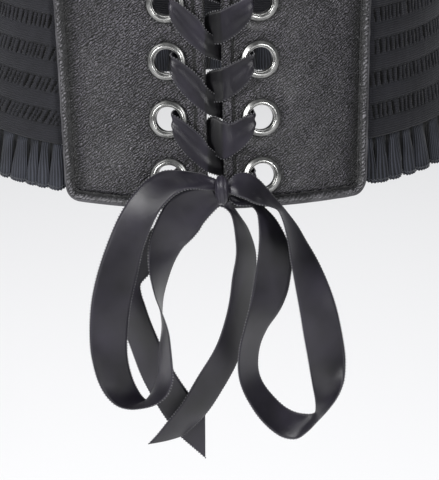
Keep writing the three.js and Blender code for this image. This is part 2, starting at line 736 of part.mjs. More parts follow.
const leftTailTable = [
  [   0.6,   10.1,    4.5,    0.8,    6.8,    4.5],
  [  -6.4,   10.7,    3.6,   -3.7,    1.9,    3.6],
  [ -13.2,    8.5,    2.5,   -7.7,   -4.6,    2.5],
  [ -21.2,    1.8,    2.0,  -13.3,  -13.2,   -1.0],
  [ -29.3,   -7.9,   -1.5,  -20.9,  -23.0,   -4.5],
  [ -37.5,  -17.3,   -5.0,  -28.6,  -31.2,   -7.0],
  [ -45.3,  -27.5,   -8.0,  -35.2,  -37.2,   -8.0],
  [ -51.3,  -39.6,  -11.0,  -38.6,  -41.7,   -8.0],
  [ -52.8,  -51.6,  -13.0,  -38.5,  -46.4,   -7.0],
  [ -50.4,  -62.9,  -14.0,  -36.6,  -52.7,   -6.0],
  [ -46.2,  -73.3,  -14.0,  -33.7,  -62.2,   -6.0],
  [ -42.8,  -83.7,  -14.0,  -29.2,  -74.1,   -6.0],
  [ -35.7, -101.8,  -11.0,  -19.5,  -94.6,   -5.0],
  [ -25.9, -117.9,   -8.5,  -10.2, -108.3,   -5.5],
  [ -20.5, -124.5,   -7.0,   -8.2, -111.5,   -7.0],
  [ -14.5, -130.5,   -7.0,   -8.1, -111.9,   -7.0],
  [  -8.3, -136.6,   -7.0,   -7.9, -112.3,   -7.0],
];

const rightTailTable = [
  [   1.4,    3.9,    6.1,    6.5,    6.2,    6.1],
  [   3.6,    2.7,    5.5,    8.3,    2.1,    2.5],
  [   6.7,   -0.3,    6.0,   11.7,   -4.8,   -2.0],
  [   8.4,   -6.0,    6.0,   15.3,  -12.3,   -6.0],
  [   9.0,  -14.4,    5.0,   17.7,  -21.3,   -9.0],
  [   8.8,  -22.4,    4.5,   18.6,  -29.8,  -10.5],
  [   8.0,  -30.6,    3.5,   18.5,  -38.7,  -11.5],
  [   5.7,  -47.2,    1.5,   16.0,  -55.2,  -11.5],
  [   0.2,  -66.9,    2.0,   11.6,  -76.2,  -10.0],
  [  -9.5,  -85.7,    3.0,    3.2,  -95.7,   -7.0],
  [ -21.1, -103.3,    5.0,   -8.2, -111.7,   -5.0],
  [ -26.6, -110.6,    5.0,  -13.7, -117.9,   -5.0],
  [ -31.8, -117.4,    5.0,  -17.3, -121.2,   -5.0],
  [ -36.5, -122.9,    4.5,  -19.9, -123.1,   -4.5],
];

const bowColumns = ['outAcross', 'outUp', 'outFront', 'inAcross', 'inUp', 'inFront'];
const bowMiddle = onBody(0, bottomLevel, panelFront);

function bowPoint(across, up, front) {
  return new THREE.Vector3(bowMiddle.x + across, bowMiddle.y - front, bowMiddle.z + up);
}

// Edge pairs of a bow ribbon at even steps along smooth curves through its table
function bowPairs(table, steps) {
  const rows = table.map((row) => Object.fromEntries(row.map((v, i) => [bowColumns[i], v])));
  const outer = rows.map((row) => bowPoint(row.outAcross, row.outUp, row.outFront));
  const inner = rows.map((row) => bowPoint(row.inAcross, row.inUp, row.inFront));
  const outerCurve = new THREE.CatmullRomCurve3(outer, false, 'centripetal');
  const innerCurve = new THREE.CatmullRomCurve3(inner, false, 'centripetal');
  return spread(0, 1, steps).map((t) => [outerCurve.getPoint(t), innerCurve.getPoint(t)]);
}

add('bow_loop_left', ribbonGeometry(bowPairs(leftLoopTable, 34)), looks.satin);
add('bow_loop_right', ribbonGeometry(bowPairs(rightLoopTable, 37)), looks.satin);
add('bow_tail_left', ribbonGeometry(bowPairs(leftTailTable, 16)), looks.satin);
add('bow_tail_right', ribbonGeometry(bowPairs(rightTailTable, 13)), looks.satin);

// Knot: an upright turn of ribbon, plump in front
function knotGeometry() {
  const ball = new THREE.SphereGeometry(1, 10, 6);
  ball.deleteAttribute('normal');
  ball.deleteAttribute('uv');
  const merged = mergeVertices(ball, 1e-4);
  merged.rotateX(Math.PI / 2);
  merged.scale(knotHalfWidth, knotHalfDepth, knotHalfHeight);
  const place = bowPoint(knotSideOffset, knotHeight, knotForwardOffset);
  merged.translate(place.x, place.y, place.z);
  return merged;
}

add('bow_knot', knotGeometry(), looks.satin);

export default group;
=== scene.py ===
"""Corset belt: leather lacing panels, shirred elastic, frills, grommets, ribbon lace and bow.

Lengths are in millimetres until a mesh is made, and then in metres.
"""
import math

import bpy
import numpy as np
from mathutils import Matrix, Vector


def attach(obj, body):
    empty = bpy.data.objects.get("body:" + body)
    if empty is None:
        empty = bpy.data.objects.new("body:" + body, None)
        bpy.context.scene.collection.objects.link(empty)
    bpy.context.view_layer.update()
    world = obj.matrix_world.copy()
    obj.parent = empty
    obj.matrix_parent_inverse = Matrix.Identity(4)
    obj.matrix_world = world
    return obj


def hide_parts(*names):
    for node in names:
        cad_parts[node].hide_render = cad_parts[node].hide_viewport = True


MM = 0.001

# Waist section and flare
WAIST_HALF_WIDTH = 118.0
WAIST_HALF_DEPTH = 98.0
BOTTOM = -110.0
TOP = 59.0
LOWER_FLARE = 0.225
UPPER_FLARE = 0.12
FLARE_EASING = 12.0

# Leather panels and their binding
HALF_GAP = 3.8
PANEL_BACK = 0.3
PANEL_THICKNESS = 2.2
REACH_AT_BOTTOM = 76.4
REACH_PER_HEIGHT = 0.048
PANEL_MARGIN = 4.7
CORNER = 7.5
FOLD_WIDTH = 5.2
STITCHES_FROM_EDGE = 4.95

# Grommets
EYELET_ROWS = 6
EYELET_PITCH = 28.1
TOP_EYELET = 45.3
EYELET_LEVELS = [TOP_EYELET - EYELET_PITCH * row for row in range(EYELET_ROWS)]
EYELET_SIDE = 22.4
LEATHER_HOLE = 7.1
HOLE_CELL = 7.8

# Elastic wrap and frills
TUCK = 8.0
WRAP_BOTTOM = -84.3
WRAP_TOP = 34.2
BAND_HEIGHT = 9.6
BANDS = 8
WRAP_HEM = 0.7
BAND_PITCH = (WRAP_TOP - WRAP_BOTTOM - BAND_HEIGHT) / (BANDS - 1)
ROW_OVERLAP = 0.65
ROW_HEIGHT = BAND_PITCH - BAND_HEIGHT + 2 * ROW_OVERLAP
RELIEF_START = 0.8
RELIEF_RUN = 4.0
ELASTIC_THICKNESS = 1.3
FRILL_THICKNESS = 0.9
LOWER_SEAM = -84.6
UPPER_SEAM = 34.5
FRILL_HEIGHT = 20.2

# Ribbon of the lace and the bow
RIBBON_WIDTH = 18.0
RIBBON_THICKNESS = 0.5
ACROSS_RIBBON = 12
LACE_IN_HOLE = 8.6
LACE_DIP = 2.65
LACE_ARCH = 3.25

# Camera: height angle and roll of the photograph, and in metres the point aimed at and distance
CAMERA_RISE = math.radians(20.07)
CAMERA_ROLL = math.radians(-1.17)
CAMERA_AIM = Vector((0.00114, -0.116, -0.12606))
CAMERA_AWAY = 1.2
CAMERA_LENS = 183.48

# Steps of the tables and grids
TURN_STEPS = 1440
HOLE_STEPS = 14
STEPS_TO_HOLES = 12
EYELET_STEPS = 56
THREAD_SIDES = 5
WRAP_COLUMNS = 1050
FRILL_COLUMNS = 1500

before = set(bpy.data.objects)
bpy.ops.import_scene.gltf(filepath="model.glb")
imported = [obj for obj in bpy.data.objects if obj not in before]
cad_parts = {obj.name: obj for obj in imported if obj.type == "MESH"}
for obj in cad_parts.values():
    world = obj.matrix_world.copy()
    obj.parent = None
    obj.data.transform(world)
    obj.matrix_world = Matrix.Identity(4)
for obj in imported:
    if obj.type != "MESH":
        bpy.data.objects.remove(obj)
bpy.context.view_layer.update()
scene = bpy.context.scene


# Camera

def place_camera():
    """Camera at the photograph's angle, aimed at the laced front."""
    away = Vector((0, -math.cos(CAMERA_RISE), math.sin(CAMERA_RISE)))
    right = Vector((1, 0, 0))
    up = right.cross(-away)
    right_turned = math.cos(CAMERA_ROLL) * right + math.sin(CAMERA_ROLL) * up
    up_turned = -math.sin(CAMERA_ROLL) * right + math.cos(CAMERA_ROLL) * up
    camera = bpy.data.cameras.new("camera")
    camera.sensor_width = 36
    camera.lens = CAMERA_LENS
    camera.clip_start = 0.05
    camera.clip_end = 20
    holder = bpy.data.objects.new("camera", camera)
    turn = Matrix((right_turned, up_turned, away)).transposed().to_4x4()
    holder.matrix_world = Matrix.Translation(CAMERA_AIM + CAMERA_AWAY * away) @ turn
    scene.collection.objects.link(holder)
    scene.camera = holder


place_camera()


# Body surface

def flare_at(z):
    slope = np.where(z < 0, LOWER_FLARE, UPPER_FLARE)
    return np.sqrt((slope * z) ** 2 + FLARE_EASING ** 2) - FLARE_EASING


def round_tables():
    """For each flare, half the way round and the turns at even shares of that way."""
    lengths, rows = [], []
    turns = np.linspace(0, math.pi, TURN_STEPS + 1)
    for flare in FLARES:
        step = np.hypot(np.diff((WAIST_HALF_WIDTH + flare) * np.sin(turns)),
                        np.diff((WAIST_HALF_DEPTH + flare) * np.cos(turns)))
        run = np.concatenate([[0], np.cumsum(step)])
        lengths.append(run[-1])
        rows.append(np.interp(np.linspace(0, 1, TURN_STEPS + 1), run / run[-1], turns))
    return np.array(lengths), np.array(rows)


FLARES = np.linspace(0, 18, 37)
HALF_ROUNDS, TURN_ROWS = round_tables()


def half_round(z):
    return np.interp(flare_at(np.asarray(z, float)), FLARES, HALF_ROUNDS)


def on_body(s, z, w):
    """Points at arc distance s from the front centre, level z and distance w out."""
    s, z, w = np.broadcast_arrays(*(np.asarray(v, float) for v in (s, z, w)))
    flare = flare_at(z)
    share = (s / np.interp(flare, FLARES, HALF_ROUNDS) + 1) % 2 - 1
    row = flare / FLARES[1]
    low_row = np.clip(row.astype(int), 0, len(FLARES) - 2)
    column = np.abs(share) * TURN_STEPS
    low_column = np.clip(column.astype(int), 0, TURN_STEPS - 1)
    fr = row - low_row
    fc = column - low_column
    turn = ((1 - fr) * (1 - fc) * TURN_ROWS[low_row, low_column]
            + fr * (1 - fc) * TURN_ROWS[low_row + 1, low_column]
            + (1 - fr) * fc * TURN_ROWS[low_row, low_column + 1]
            + fr * fc * TURN_ROWS[low_row + 1, low_column + 1])
    turn = np.where(share < 0, -turn, turn)
    a = WAIST_HALF_WIDTH + flare
    b = WAIST_HALF_DEPTH + flare
    nx = np.sin(turn) / a
    ny = -np.cos(turn) / b
    size = np.hypot(nx, ny)
    return np.stack([a * np.sin(turn) + w * nx / size,
                     -b * np.cos(turn) + w * ny / size, z], axis=-1)


def unit(v):
    return v / np.maximum(np.linalg.norm(v, axis=-1, keepdims=True), 1e-9)


def axes_at(s, z):
    along = unit(on_body(s + 0.5, z, 0) - on_body(s - 0.5, z, 0))
    rise = unit(on_body(s, z + 0.5, 0) - on_body(s, z - 0.5, 0))
    out = unit(np.cross(along, rise))
    return along, unit(np.cross(out, along)), out


def panel_reach(z):
    return REACH_AT_BOTTOM + REACH_PER_HEIGHT * (z - BOTTOM)


def smooth(low, high, value):
    part = np.clip((value - low) / (high - low), 0, 1)
    return part * part * (3 - 2 * part)


def run_along(points):
    """Way along a line of points, from the first of them to each."""
    return np.concatenate([[0], np.cumsum(np.linalg.norm(np.diff(points, axis=0), axis=1))])


# Node helpers

class Value:
    """A number in a node tree, so that a formula of nodes reads as arithmetic."""

    def __init__(self, tree, socket):
        self.tree = tree
        self.socket = socket

    def do(self, operation, *others, clamp=False):
        node = self.tree.nodes.new("ShaderNodeMath")
        node.operation = operation
        node.use_clamp = clamp
        for slot, value in zip(node.inputs, (self,) + others):
            fill(self.tree, slot, value)
        return Value(self.tree, node.outputs[0])

    def __add__(self, other):
        return self.do("ADD", other)

    def __sub__(self, other):
        return self.do("SUBTRACT", other)

    def __mul__(self, other):
        return self.do("MULTIPLY", other)

    def __truediv__(self, other):
        return self.do("DIVIDE", other)

    def smooth(self, low, high):
        node = put(self.tree, "ShaderNodeMapRange", {"interpolation_type": "SMOOTHSTEP"},
                   Value=self, From_Min=low, From_Max=high)
        return Value(self.tree, node.outputs["Result"])


def fill(tree, slot, value):
    """Link a slot to where its value comes from, or set the slot's own value."""
    if isinstance(value, Value):
        value = value.socket
    if isinstance(value, bpy.types.NodeSocket):
        tree.links.new(value, slot)
    else:
        slot.default_value = value


def put(tree, kind, settings=None, **values):
    """A node with its settings, and its inputs filled or linked by name."""
    node = tree.nodes.new(kind)
    for name, value in (settings or {}).items():
        setattr(node, name, value)
    for name, value in values.items():
        fill(tree, node.inputs[name.replace("_", " ")], value)
    return node


def put_vector(tree, operation, *vectors, **values):
    """A step of vector arithmetic on linked vectors."""
    node = put(tree, "ShaderNodeVectorMath", {"operation": operation}, **values)
    for slot, value in zip(node.inputs, vectors):
        tree.links.new(value, slot)
    return node.outputs[0]


def noise(tree, place, scale, detail, **settings):
    node = put(tree, "ShaderNodeTexNoise", settings, Vector=place, Scale=scale, Detail=detail)
    return Value(tree, node.outputs["Fac"])


def new_group(kind, name, inputs, outputs):
    """A node group with its end nodes, and its number inputs by name."""
    tree = bpy.data.node_groups.new(name, kind)
    for label, socket, default in inputs:
        made = tree.interface.new_socket(label, in_out="INPUT", socket_type=socket)
        if default is not None:
            made.default_value = default
    for label, socket in outputs:
        tree.interface.new_socket(label, in_out="OUTPUT", socket_type=socket)
    ins = tree.nodes.new("NodeGroupInput").outputs
    given = {socket.name: Value(tree, socket) for socket in ins if socket.type == "VALUE"}
    return tree, ins, tree.nodes.new("NodeGroupOutput").inputs, given


def from_group(tree, group, **values):
    """The numbers that a shared node group gives, with its inputs filled by name."""
    node = put(tree, "ShaderNodeGroup", {"node_tree": group}, **values)
    return [Value(tree, socket) for socket in node.outputs]


FLOAT = "NodeSocketFloat"
VECTOR = "NodeSocketVector"
GEOMETRY = "NodeSocketGeometry"


# Shared finishes

def leather_grain_group():
    """Wavy leaning ridges broken by fine creases, with longer wrinkles over them."""
    tree, ins, outs, given = new_group(
        "ShaderNodeTree", "leather grain",
        [("Place", VECTOR, None), ("Pebble Size", FLOAT, 1.2), ("Wrinkle Share", FLOAT, 0.4)],
        [("Height", FLOAT), ("Crease", FLOAT)])
    size = given["Pebble Size"]
    place = ins["Place"]
    scale = (size * MM).do("POWER", -1.0)
    bend = put(tree, "ShaderNodeTexNoise", Vector=place, Scale=scale * 0.22, Detail=2.0)
    nudge = put_vector(tree, "SCALE", bend.outputs["Color"], Scale=size * MM * 2.4)
    leaning = put(tree, "ShaderNodeMapping", {"vector_type": "TEXTURE"},
                  Vector=put_vector(tree, "ADD", place, nudge),
                  Rotation=(0, math.radians(-38), 0), Scale=(2.0, 1, 1))
    cells = put(tree, "ShaderNodeTexVoronoi", {"feature": "DISTANCE_TO_EDGE"},
                Vector=leaning.outputs[0], Scale=scale, Randomness=0.9)
    waves = put(tree, "ShaderNodeTexWave", {"bands_direction": "Z"}, Vector=leaning.outputs[0],
                Scale=scale * 0.27, Distortion=6.5, Detail=2.0, Detail_Scale=1.3)
    pebble = Value(tree, cells.outputs["Distance"]).smooth(0.0, 0.26) * 0.5
    pebble = pebble + Value(tree, waves.outputs["Fac"]) * 0.5
    wrinkle = noise(tree, place, scale * 0.22, 3.0, noise_type="RIDGED_MULTIFRACTAL")
    height = pebble * 0.7 + noise(tree, place, scale * 2.2, 3.0) * 0.5
    fill(tree, outs["Height"], height + wrinkle * given["Wrinkle Share"])
    fill(tree, outs["Crease"], pebble.do("SUBTRACT", 1.0).do("ABSOLUTE"))
    return tree


def cloth_weave_group():
    """Threads across and along a cloth, in the piece's own flat coordinates."""
    tree, ins, outs, given = new_group(
        "ShaderNodeTree", "cloth weave",
        [("Flat", VECTOR, None), ("Warp Pitch", FLOAT, 0.4), ("Weft Pitch", FLOAT, 0.4),
         ("Weft Share", FLOAT, 0.5)],
        [("Height", FLOAT), ("Shade", FLOAT)])
    split = put(tree, "ShaderNodeSeparateXYZ", Vector=ins["Flat"])
    wobble = noise(tree, ins["Flat"], 140.0, 2.0)
    shift = (wobble - 0.5) * (0.5 * MM)
    warp, weft = (
        ((Value(tree, split.outputs[axis]) + shift) / (given[pitch] * MM) * (2 * math.pi))
        .do("SINE") * 0.5 + 0.5 for axis, pitch in (("X", "Warp Pitch"), ("Y", "Weft Pitch")))
    share = given["Weft Share"]
    height = warp * (share * -1.0 + 1.0) + weft * share
    fill(tree, outs["Height"], height)
    fill(tree, outs["Shade"], height * 0.5 + wobble * 0.5)
    return tree


def handling_wear_group():
    """Soft uneven patches left by wear and handling, and small specks."""
    tree, ins, outs, given = new_group(
        "ShaderNodeTree", "handling wear",
        [("Place", VECTOR, None), ("Patch Size", FLOAT, 30.0), ("Contrast", FLOAT, 1.0)],
        [("Patches", FLOAT), ("Specks", FLOAT)])
    scale = (given["Patch Size"] * MM).do("POWER", -1.0)
    patches = (noise(tree, ins["Place"], scale, 4.0) - 0.5) * given["Contrast"] + 0.5
    fill(tree, outs["Patches"], patches.do("ADD", 0.0, clamp=True))
    specks = noise(tree, ins["Place"], scale * 14.0, 2.0)
    fill(tree, outs["Specks"], specks.smooth(0.55, 0.75))
    return tree


LEATHER_GRAIN = leather_grain_group()
CLOTH_WEAVE = cloth_weave_group()
HANDLING_WEAR = handling_wear_group()


def new_material(name, **constants):
    """A material, its tree and shader, and the coordinates on the object and on flat cloth."""
    material = bpy.data.materials.new(name)
    material.use_nodes = True
    tree = material.node_tree
    shader = tree.nodes["Principled BSDF"]
    for label, value in constants.items():
        shader.inputs[label.replace("_", " ")].default_value = value
    where = tree.nodes.new("ShaderNodeTexCoord")
    return material, tree, shader, where.outputs["Object"], where.outputs["UV"]


def dress(tree, shader, tone, dark, light, rough, height, depth, strength=1.0):
    """Colour between dark and light, roughness, and a bump of a depth in millimetres."""
    mix = put(tree, "ShaderNodeMix", {"data_type": "RGBA"}, Factor=tone, A=(*dark, 1),
              B=(*light, 1))
    tree.links.new(mix.outputs["Result"], shader.inputs["Base Color"])
    fill(tree, shader.inputs["Roughness"], rough)
    bump = put(tree, "ShaderNodeBump", Height=height, Distance=depth * MM, Strength=strength)
    tree.links.new(bump.outputs[0], shader.inputs["Normal"])


def flat_value(tree, flat, axis):
    split = put(tree, "ShaderNodeSeparateXYZ", Vector=flat)
    return Value(tree, split.outputs[axis])


def piece_value(tree, name):
    """A number that the piece keeps on its own points."""
    node = put(tree, "ShaderNodeAttribute", {"attribute_name": name})
    return Value(tree, node.outputs["Fac"])


def leather_material():
    material, tree, shader, place, flat = new_material(
        "black grained leather", Coat_Weight=0.4, Coat_Roughness=0.36)
    height, crease = from_group(tree, LEATHER_GRAIN, Place=place, Pebble_Size=0.95,
                                Wrinkle_Share=0.25)
    patches, _ = from_group(tree, HANDLING_WEAR, Place=place, Patch_Size=30.0, Contrast=1.6)
    from_fold = flat_value(tree, flat, "X") / MM - (HALF_GAP + FOLD_WIDTH + 0.25)
    # Painted light and shade along the lacing edge: fold makes the raised strip a little lighter and
    # its edge rolled into the gap darker; seam is painted shade in the stitch groove.
    fold = from_fold.smooth(0.0, -1.2) - from_fold.smooth(-3.6, -4.4) * 3.0
    seam = from_fold.do("ABSOLUTE").smooth(1.2, 0.4)
    hollow = piece_value(tree, "hollow")
    # Tone: creases darker and pebble tops lighter, the grain's own tone and painted sheen, then the
    # painted light and shade of fold and seam and the painted shade kept on the piece.
    tone = patches * 0.35 - crease * 1.5 + fold * 0.1 - seam * 0.9 - hollow * 0.6
    dress(tree, shader, tone.do("ADD", 0.74, clamp=True), (0.001, 0.001, 0.0012),
          (0.08, 0.073, 0.092), patches * -0.05 + crease * 0.3 + seam * 0.3 + hollow * 0.1 + 0.25,
          height, 0.5)
    fill(tree, shader.inputs["Specular IOR Level"], (crease * -0.7).do("ADD", 0.8, clamp=True))
    return material


def binding_material():
    """The turned edge strip: coarse bright grain with painted sheen, a painted highlight along its
    crown, painted shade down its inner slope, and a smooth pressed outer edge.
    """
    material, tree, shader, place, flat = new_material(
        "pressed leather binding", Specular_IOR_Level=0.55, Coat_Weight=0.1, Coat_Roughness=0.35)
    height, crease = from_group(tree, LEATHER_GRAIN, Place=place, Pebble_Size=1.25,
                                Wrinkle_Share=0.4)
    patches, _ = from_group(tree, HANDLING_WEAR, Place=place, Patch_Size=9.0, Contrast=2.0)
    across = flat_value(tree, flat, "Y") / MM
    pressed = piece_value(tree, "pressed")
    grained = across.smooth(1.35, 1.9) * (pressed * -0.6 + 1.0)
    painted_crown_highlight = grained * across.smooth(4.3, 3.2)
    # Painted light in the tone: creases darker and pebble tops lighter (the grain's own tone and
    # painted sheen), and a painted highlight along the crown of the roll.
    tone = patches * 0.4 - crease * grained * 1.8 + painted_crown_highlight * 0.85
    # Painted shade down the inner slope towards the panel, weaker on the pressed ends.
    tone = tone - across.smooth(3.2, 4.6) * (pressed * -0.55 + 0.7)
    dress(tree, shader, tone.do("ADD", 0.14, clamp=True), (0.003, 0.003, 0.004),
          (0.15, 0.146, 0.16), crease * 0.2 + 0.4, height * grained, 0.45)
    return material


def elastic_material():
    material, tree, shader, place, flat = new_material(
        "shirred elastic", Specular_IOR_Level=0.3, Sheen_Weight=0.08, Sheen_Roughness=0.5)
    height, shade = from_group(tree, CLOTH_WEAVE, Flat=flat, Warp_Pitch=0.9, Weft_Pitch=1.12,
                               Weft_Share=0.62)
    patches, _ = from_group(tree, HANDLING_WEAR, Place=place, Patch_Size=22.0, Contrast=1.4)
    # Painted shade from the shirring darkens the threads' tone.
    shade = shade * 0.7 + patches * 0.3 - piece_value(tree, "hollow") * 1.5
    shade = shade.do("MAXIMUM", 0.0)
    dress(tree, shader, shade, (0.0005, 0.0005, 0.0008), (0.018, 0.0185, 0.026),
          shade * -0.2 + 0.86, height, 0.3)
    return material


def frill_material():
    material, tree, shader, place, flat = new_material(
        "frill cloth", Specular_IOR_Level=0.3, Sheen_Weight=0.1, Sheen_Roughness=0.4)
    height, _ = from_group(tree, CLOTH_WEAVE, Flat=flat, Warp_Pitch=1.35, Weft_Pitch=0.7,
                           Weft_Share=0.12)
    patches, _ = from_group(tree, HANDLING_WEAR, Place=place, Patch_Size=14.0, Contrast=1.5)
    # Painted shade from the gathering darkens the tone.
    shade = height * 0.75 + patches * 0.45 - 0.15 - piece_value(tree, "hollow") * 1.1
    shade = shade.do("MAXIMUM", 0.0)
    dress(tree, shader, shade, (0.001, 0.0013, 0.0018), (0.045, 0.049, 0.065),
          shade * -0.2 + 0.82, height, 0.3)
    return material


def satin_material():
    """Ribbon: a smooth satin face between two ribbed woven edges."""
    material, tree, shader, place, flat = new_material(
        "black satin ribbon", Specular_IOR_Level=0.5, Sheen_Weight=0.1, Sheen_Roughness=0.35,
        Anisotropic=0.4)
    weave, _ = from_group(tree, CLOTH_WEAVE, Flat=flat, Warp_Pitch=0.5, Weft_Pitch=0.35,
                          Weft_Share=0.2)
    ribs, _ = from_group(tree, CLOTH_WEAVE, Flat=flat, Warp_Pitch=1.1, Weft_Pitch=0.5,
                         Weft_Share=0.15)
    patches, _ = from_group(tree, HANDLING_WEAR, Place=place, Patch_Size=26.0, Contrast=2.2)
    from_middle = (flat_value(tree, flat, "Y") / MM - RIBBON_WIDTH / 2).do("ABSOLUTE")
    edge = from_middle.smooth(RIBBON_WIDTH / 2 - 1.3, RIBBON_WIDTH / 2 - 0.8)
    # Painted shade deep in the gap between the panels; the large strong patches give random unevenness
    # and broad painted highlights in the violet light colour.
    shade = patches * 0.8 + ribs * edge * 0.3 - piece_value(tree, "hollow")
    dress(tree, shader, shade.do("MAXIMUM", 0.0), (0.002, 0.0018, 0.003),
          (0.026, 0.0225, 0.036), edge * 0.2 + patches * 0.04 + 0.33, weave * 0.35 + ribs * edge,
          0.12, 0.7)
    return material


def thread_material(name, dark, light, rough):
    material, tree, shader, place, _ = new_material(name, Specular_IOR_Level=0.4,
                                                    Sheen_Weight=0.2)
    patches, _ = from_group(tree, HANDLING_WEAR, Place=place, Patch_Size=2.0, Contrast=2.0)
    dress(tree, shader, patches, dark, light, patches * 0.15 + rough, patches, 0.1, 0.6)
    return material


def pewter_material():
    material, tree, shader, place, flat = new_material("antique pewter", Metallic=1.0)
    patches, specks = from_group(tree, HANDLING_WEAR, Place=place, Patch_Size=3.5, Contrast=1.8)
    # Painted shade of the ring, read from the profile: dark in the groove, on the outer bevel and in
    # the barrel.
    hollow = flat_value(tree, flat, "Y")
    tone = (patches * 0.4 - hollow * 0.95 - specks * 0.06).do("ADD", 0.5, clamp=True)
    dress(tree, shader, tone, (0.07, 0.07, 0.07), (0.68, 0.68, 0.66),
          specks * 0.2 + hollow * 0.25 + patches * 0.08 + 0.22, patches + specks * 0.2, 0.05, 0.4)
    return material


LEATHER = leather_material()
BINDING = binding_material()
ELASTIC = elastic_material()
FRILL = frill_material()
SATIN = satin_material()
PEWTER = pewter_material()
LEATHER_THREAD = thread_material("black sewing thread", (0.003, 0.003, 0.003),
                                 (0.012, 0.012, 0.013), 0.55)
HEM_THREAD = thread_material("hem overlock thread", (0.02, 0.022, 0.028),
                             (0.06, 0.064, 0.075), 0.6)
PICOT_THREAD = thread_material("ribbon edge thread", (0.05, 0.05, 0.055),
                               (0.17, 0.17, 0.18), 0.5)


# Meshes

def read_points(mesh):
    places = np.empty(len(mesh.vertices) * 3, np.float32)
    mesh.vertices.foreach_get("co", places)
    return places.reshape(-1, 3)


def face_outward(mesh):
    """Turn the faces of a closed mesh so that they point outwards."""
    mesh.calc_loop_triangles()
    corners = np.empty(len(mesh.loop_triangles) * 3, np.int32)
    mesh.loop_triangles.foreach_get("vertices", corners)
    p = read_points(mesh)[corners.reshape(-1, 3)].astype(float)
    if np.einsum("ij,ij->", p[:, 0], np.cross(p[:, 1], p[:, 2])) < 0:
        mesh.flip_normals()


def make_mesh(name, points, faces, flat, material=None):
    """A new piece from points in millimetres, with flat coordinates in metres."""
    mesh = bpy.data.meshes.new(name)
    faces = faces.tolist() if isinstance(faces, np.ndarray) else faces
    mesh.from_pydata((np.asarray(points, float) * MM).tolist(), [], faces)
    loops = np.empty(len(mesh.loops), np.int32)
    mesh.loops.foreach_get("vertex_index", loops)
    layer = mesh.uv_layers.new(name="flat")
    layer.uv.foreach_set("vector", (np.asarray(flat, float)[loops] * MM).ravel())
    face_outward(mesh)
    mesh.shade_smooth()
    if material is not None:
        mesh.materials.append(material)
    return linked(name, mesh)


def linked(name, data):
    """A new object in the scene."""
    piece = bpy.data.objects.new(name, data)
    scene.collection.objects.link(piece)
    return piece


def keep_on_points(mesh, name, values, kind="FLOAT", field="value"):
    """Numbers kept on the points of a mesh, for its finish or its node tree."""
    attribute = mesh.attributes.new(name, kind, "POINT")
    attribute.data.foreach_set(field, np.asarray(values, np.float32).ravel())


def keep_vectors(mesh, name, values):
    keep_on_points(mesh, name, values, "FLOAT_VECTOR", "vector")


def settle(piece, slot, *nodes):
    """The piece stands for its CAD nodes, which are hidden, and rides on the belt; its slot is not
    used.
    """
    if nodes:
        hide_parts(*nodes)
    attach(piece, "root")
    return piece


def numbered(rows, columns, first=0):
    """Point numbers of a grid, row by row."""
    return np.arange(rows * columns).reshape(rows, columns) + first


def grid_faces(index):
    """Four-cornered faces between the neighbouring points of a grid."""
    return np.stack([index[:-1, :-1], index[:-1, 1:], index[1:, 1:], index[1:, :-1]],
                    axis=-1).reshape(-1, 4)


def tube_faces(index):
    """Faces of a grid whose last column joins its first."""
    return grid_faces(np.hstack([index, index[:, :1]])).tolist()


def rim(index):
    """Point numbers once round the edge of a grid."""
    return np.concatenate([index[0, :-1], index[:-1, -1], index[-1, :0:-1], index[:0:-1, 0]])


def double_sheet(front, back):
    """Points and faces of a closed sheet; its back may have fewer rows than its front."""
    ahead = numbered(*front.shape[:2])
    behind = numbered(*back.shape[:2], ahead.size)
    points = np.concatenate([front.reshape(-1, 3), back.reshape(-1, 3)])
    faces = np.concatenate([grid_faces(ahead), grid_faces(behind)[:, ::-1]])
    if back.shape == front.shape:
        ring = rim(ahead)
        after = np.roll(ring, -1)
        sides = np.stack([after, ring, ring + ahead.size, after + ahead.size], axis=-1)
        return points, np.concatenate([faces, sides])
    rims = [np.stack([ahead[0, 1:], ahead[0, :-1], behind[0, :-1], behind[0, 1:]], -1),
            np.stack([ahead[-1, :-1], ahead[-1, 1:], behind[-1, 1:], behind[-1, :-1]], -1)]
    ends = [ahead[:, 0].tolist() + behind[::-1, 0].tolist(),
            ahead[::-1, -1].tolist() + behind[:, -1].tolist()]
    return points, np.concatenate([faces] + rims).tolist() + ends


# Leather panels

def soft_noise(seed, s, z, pitch):
    """Smooth bumps of about the given pitch, from a few fixed waves."""
    pick = np.random.default_rng(seed)
    total = np.zeros_like(np.asarray(s, float) + np.asarray(z, float))
    for _ in range(7):
        turn = pick.uniform(0, math.pi)
        size = 2 * math.pi / (pitch * pick.uniform(0.7, 1.6))
        total += np.sin(size * (s * math.cos(turn) + z * math.sin(turn)) + pick.uniform(0, 6.28))
    return total / 3.2


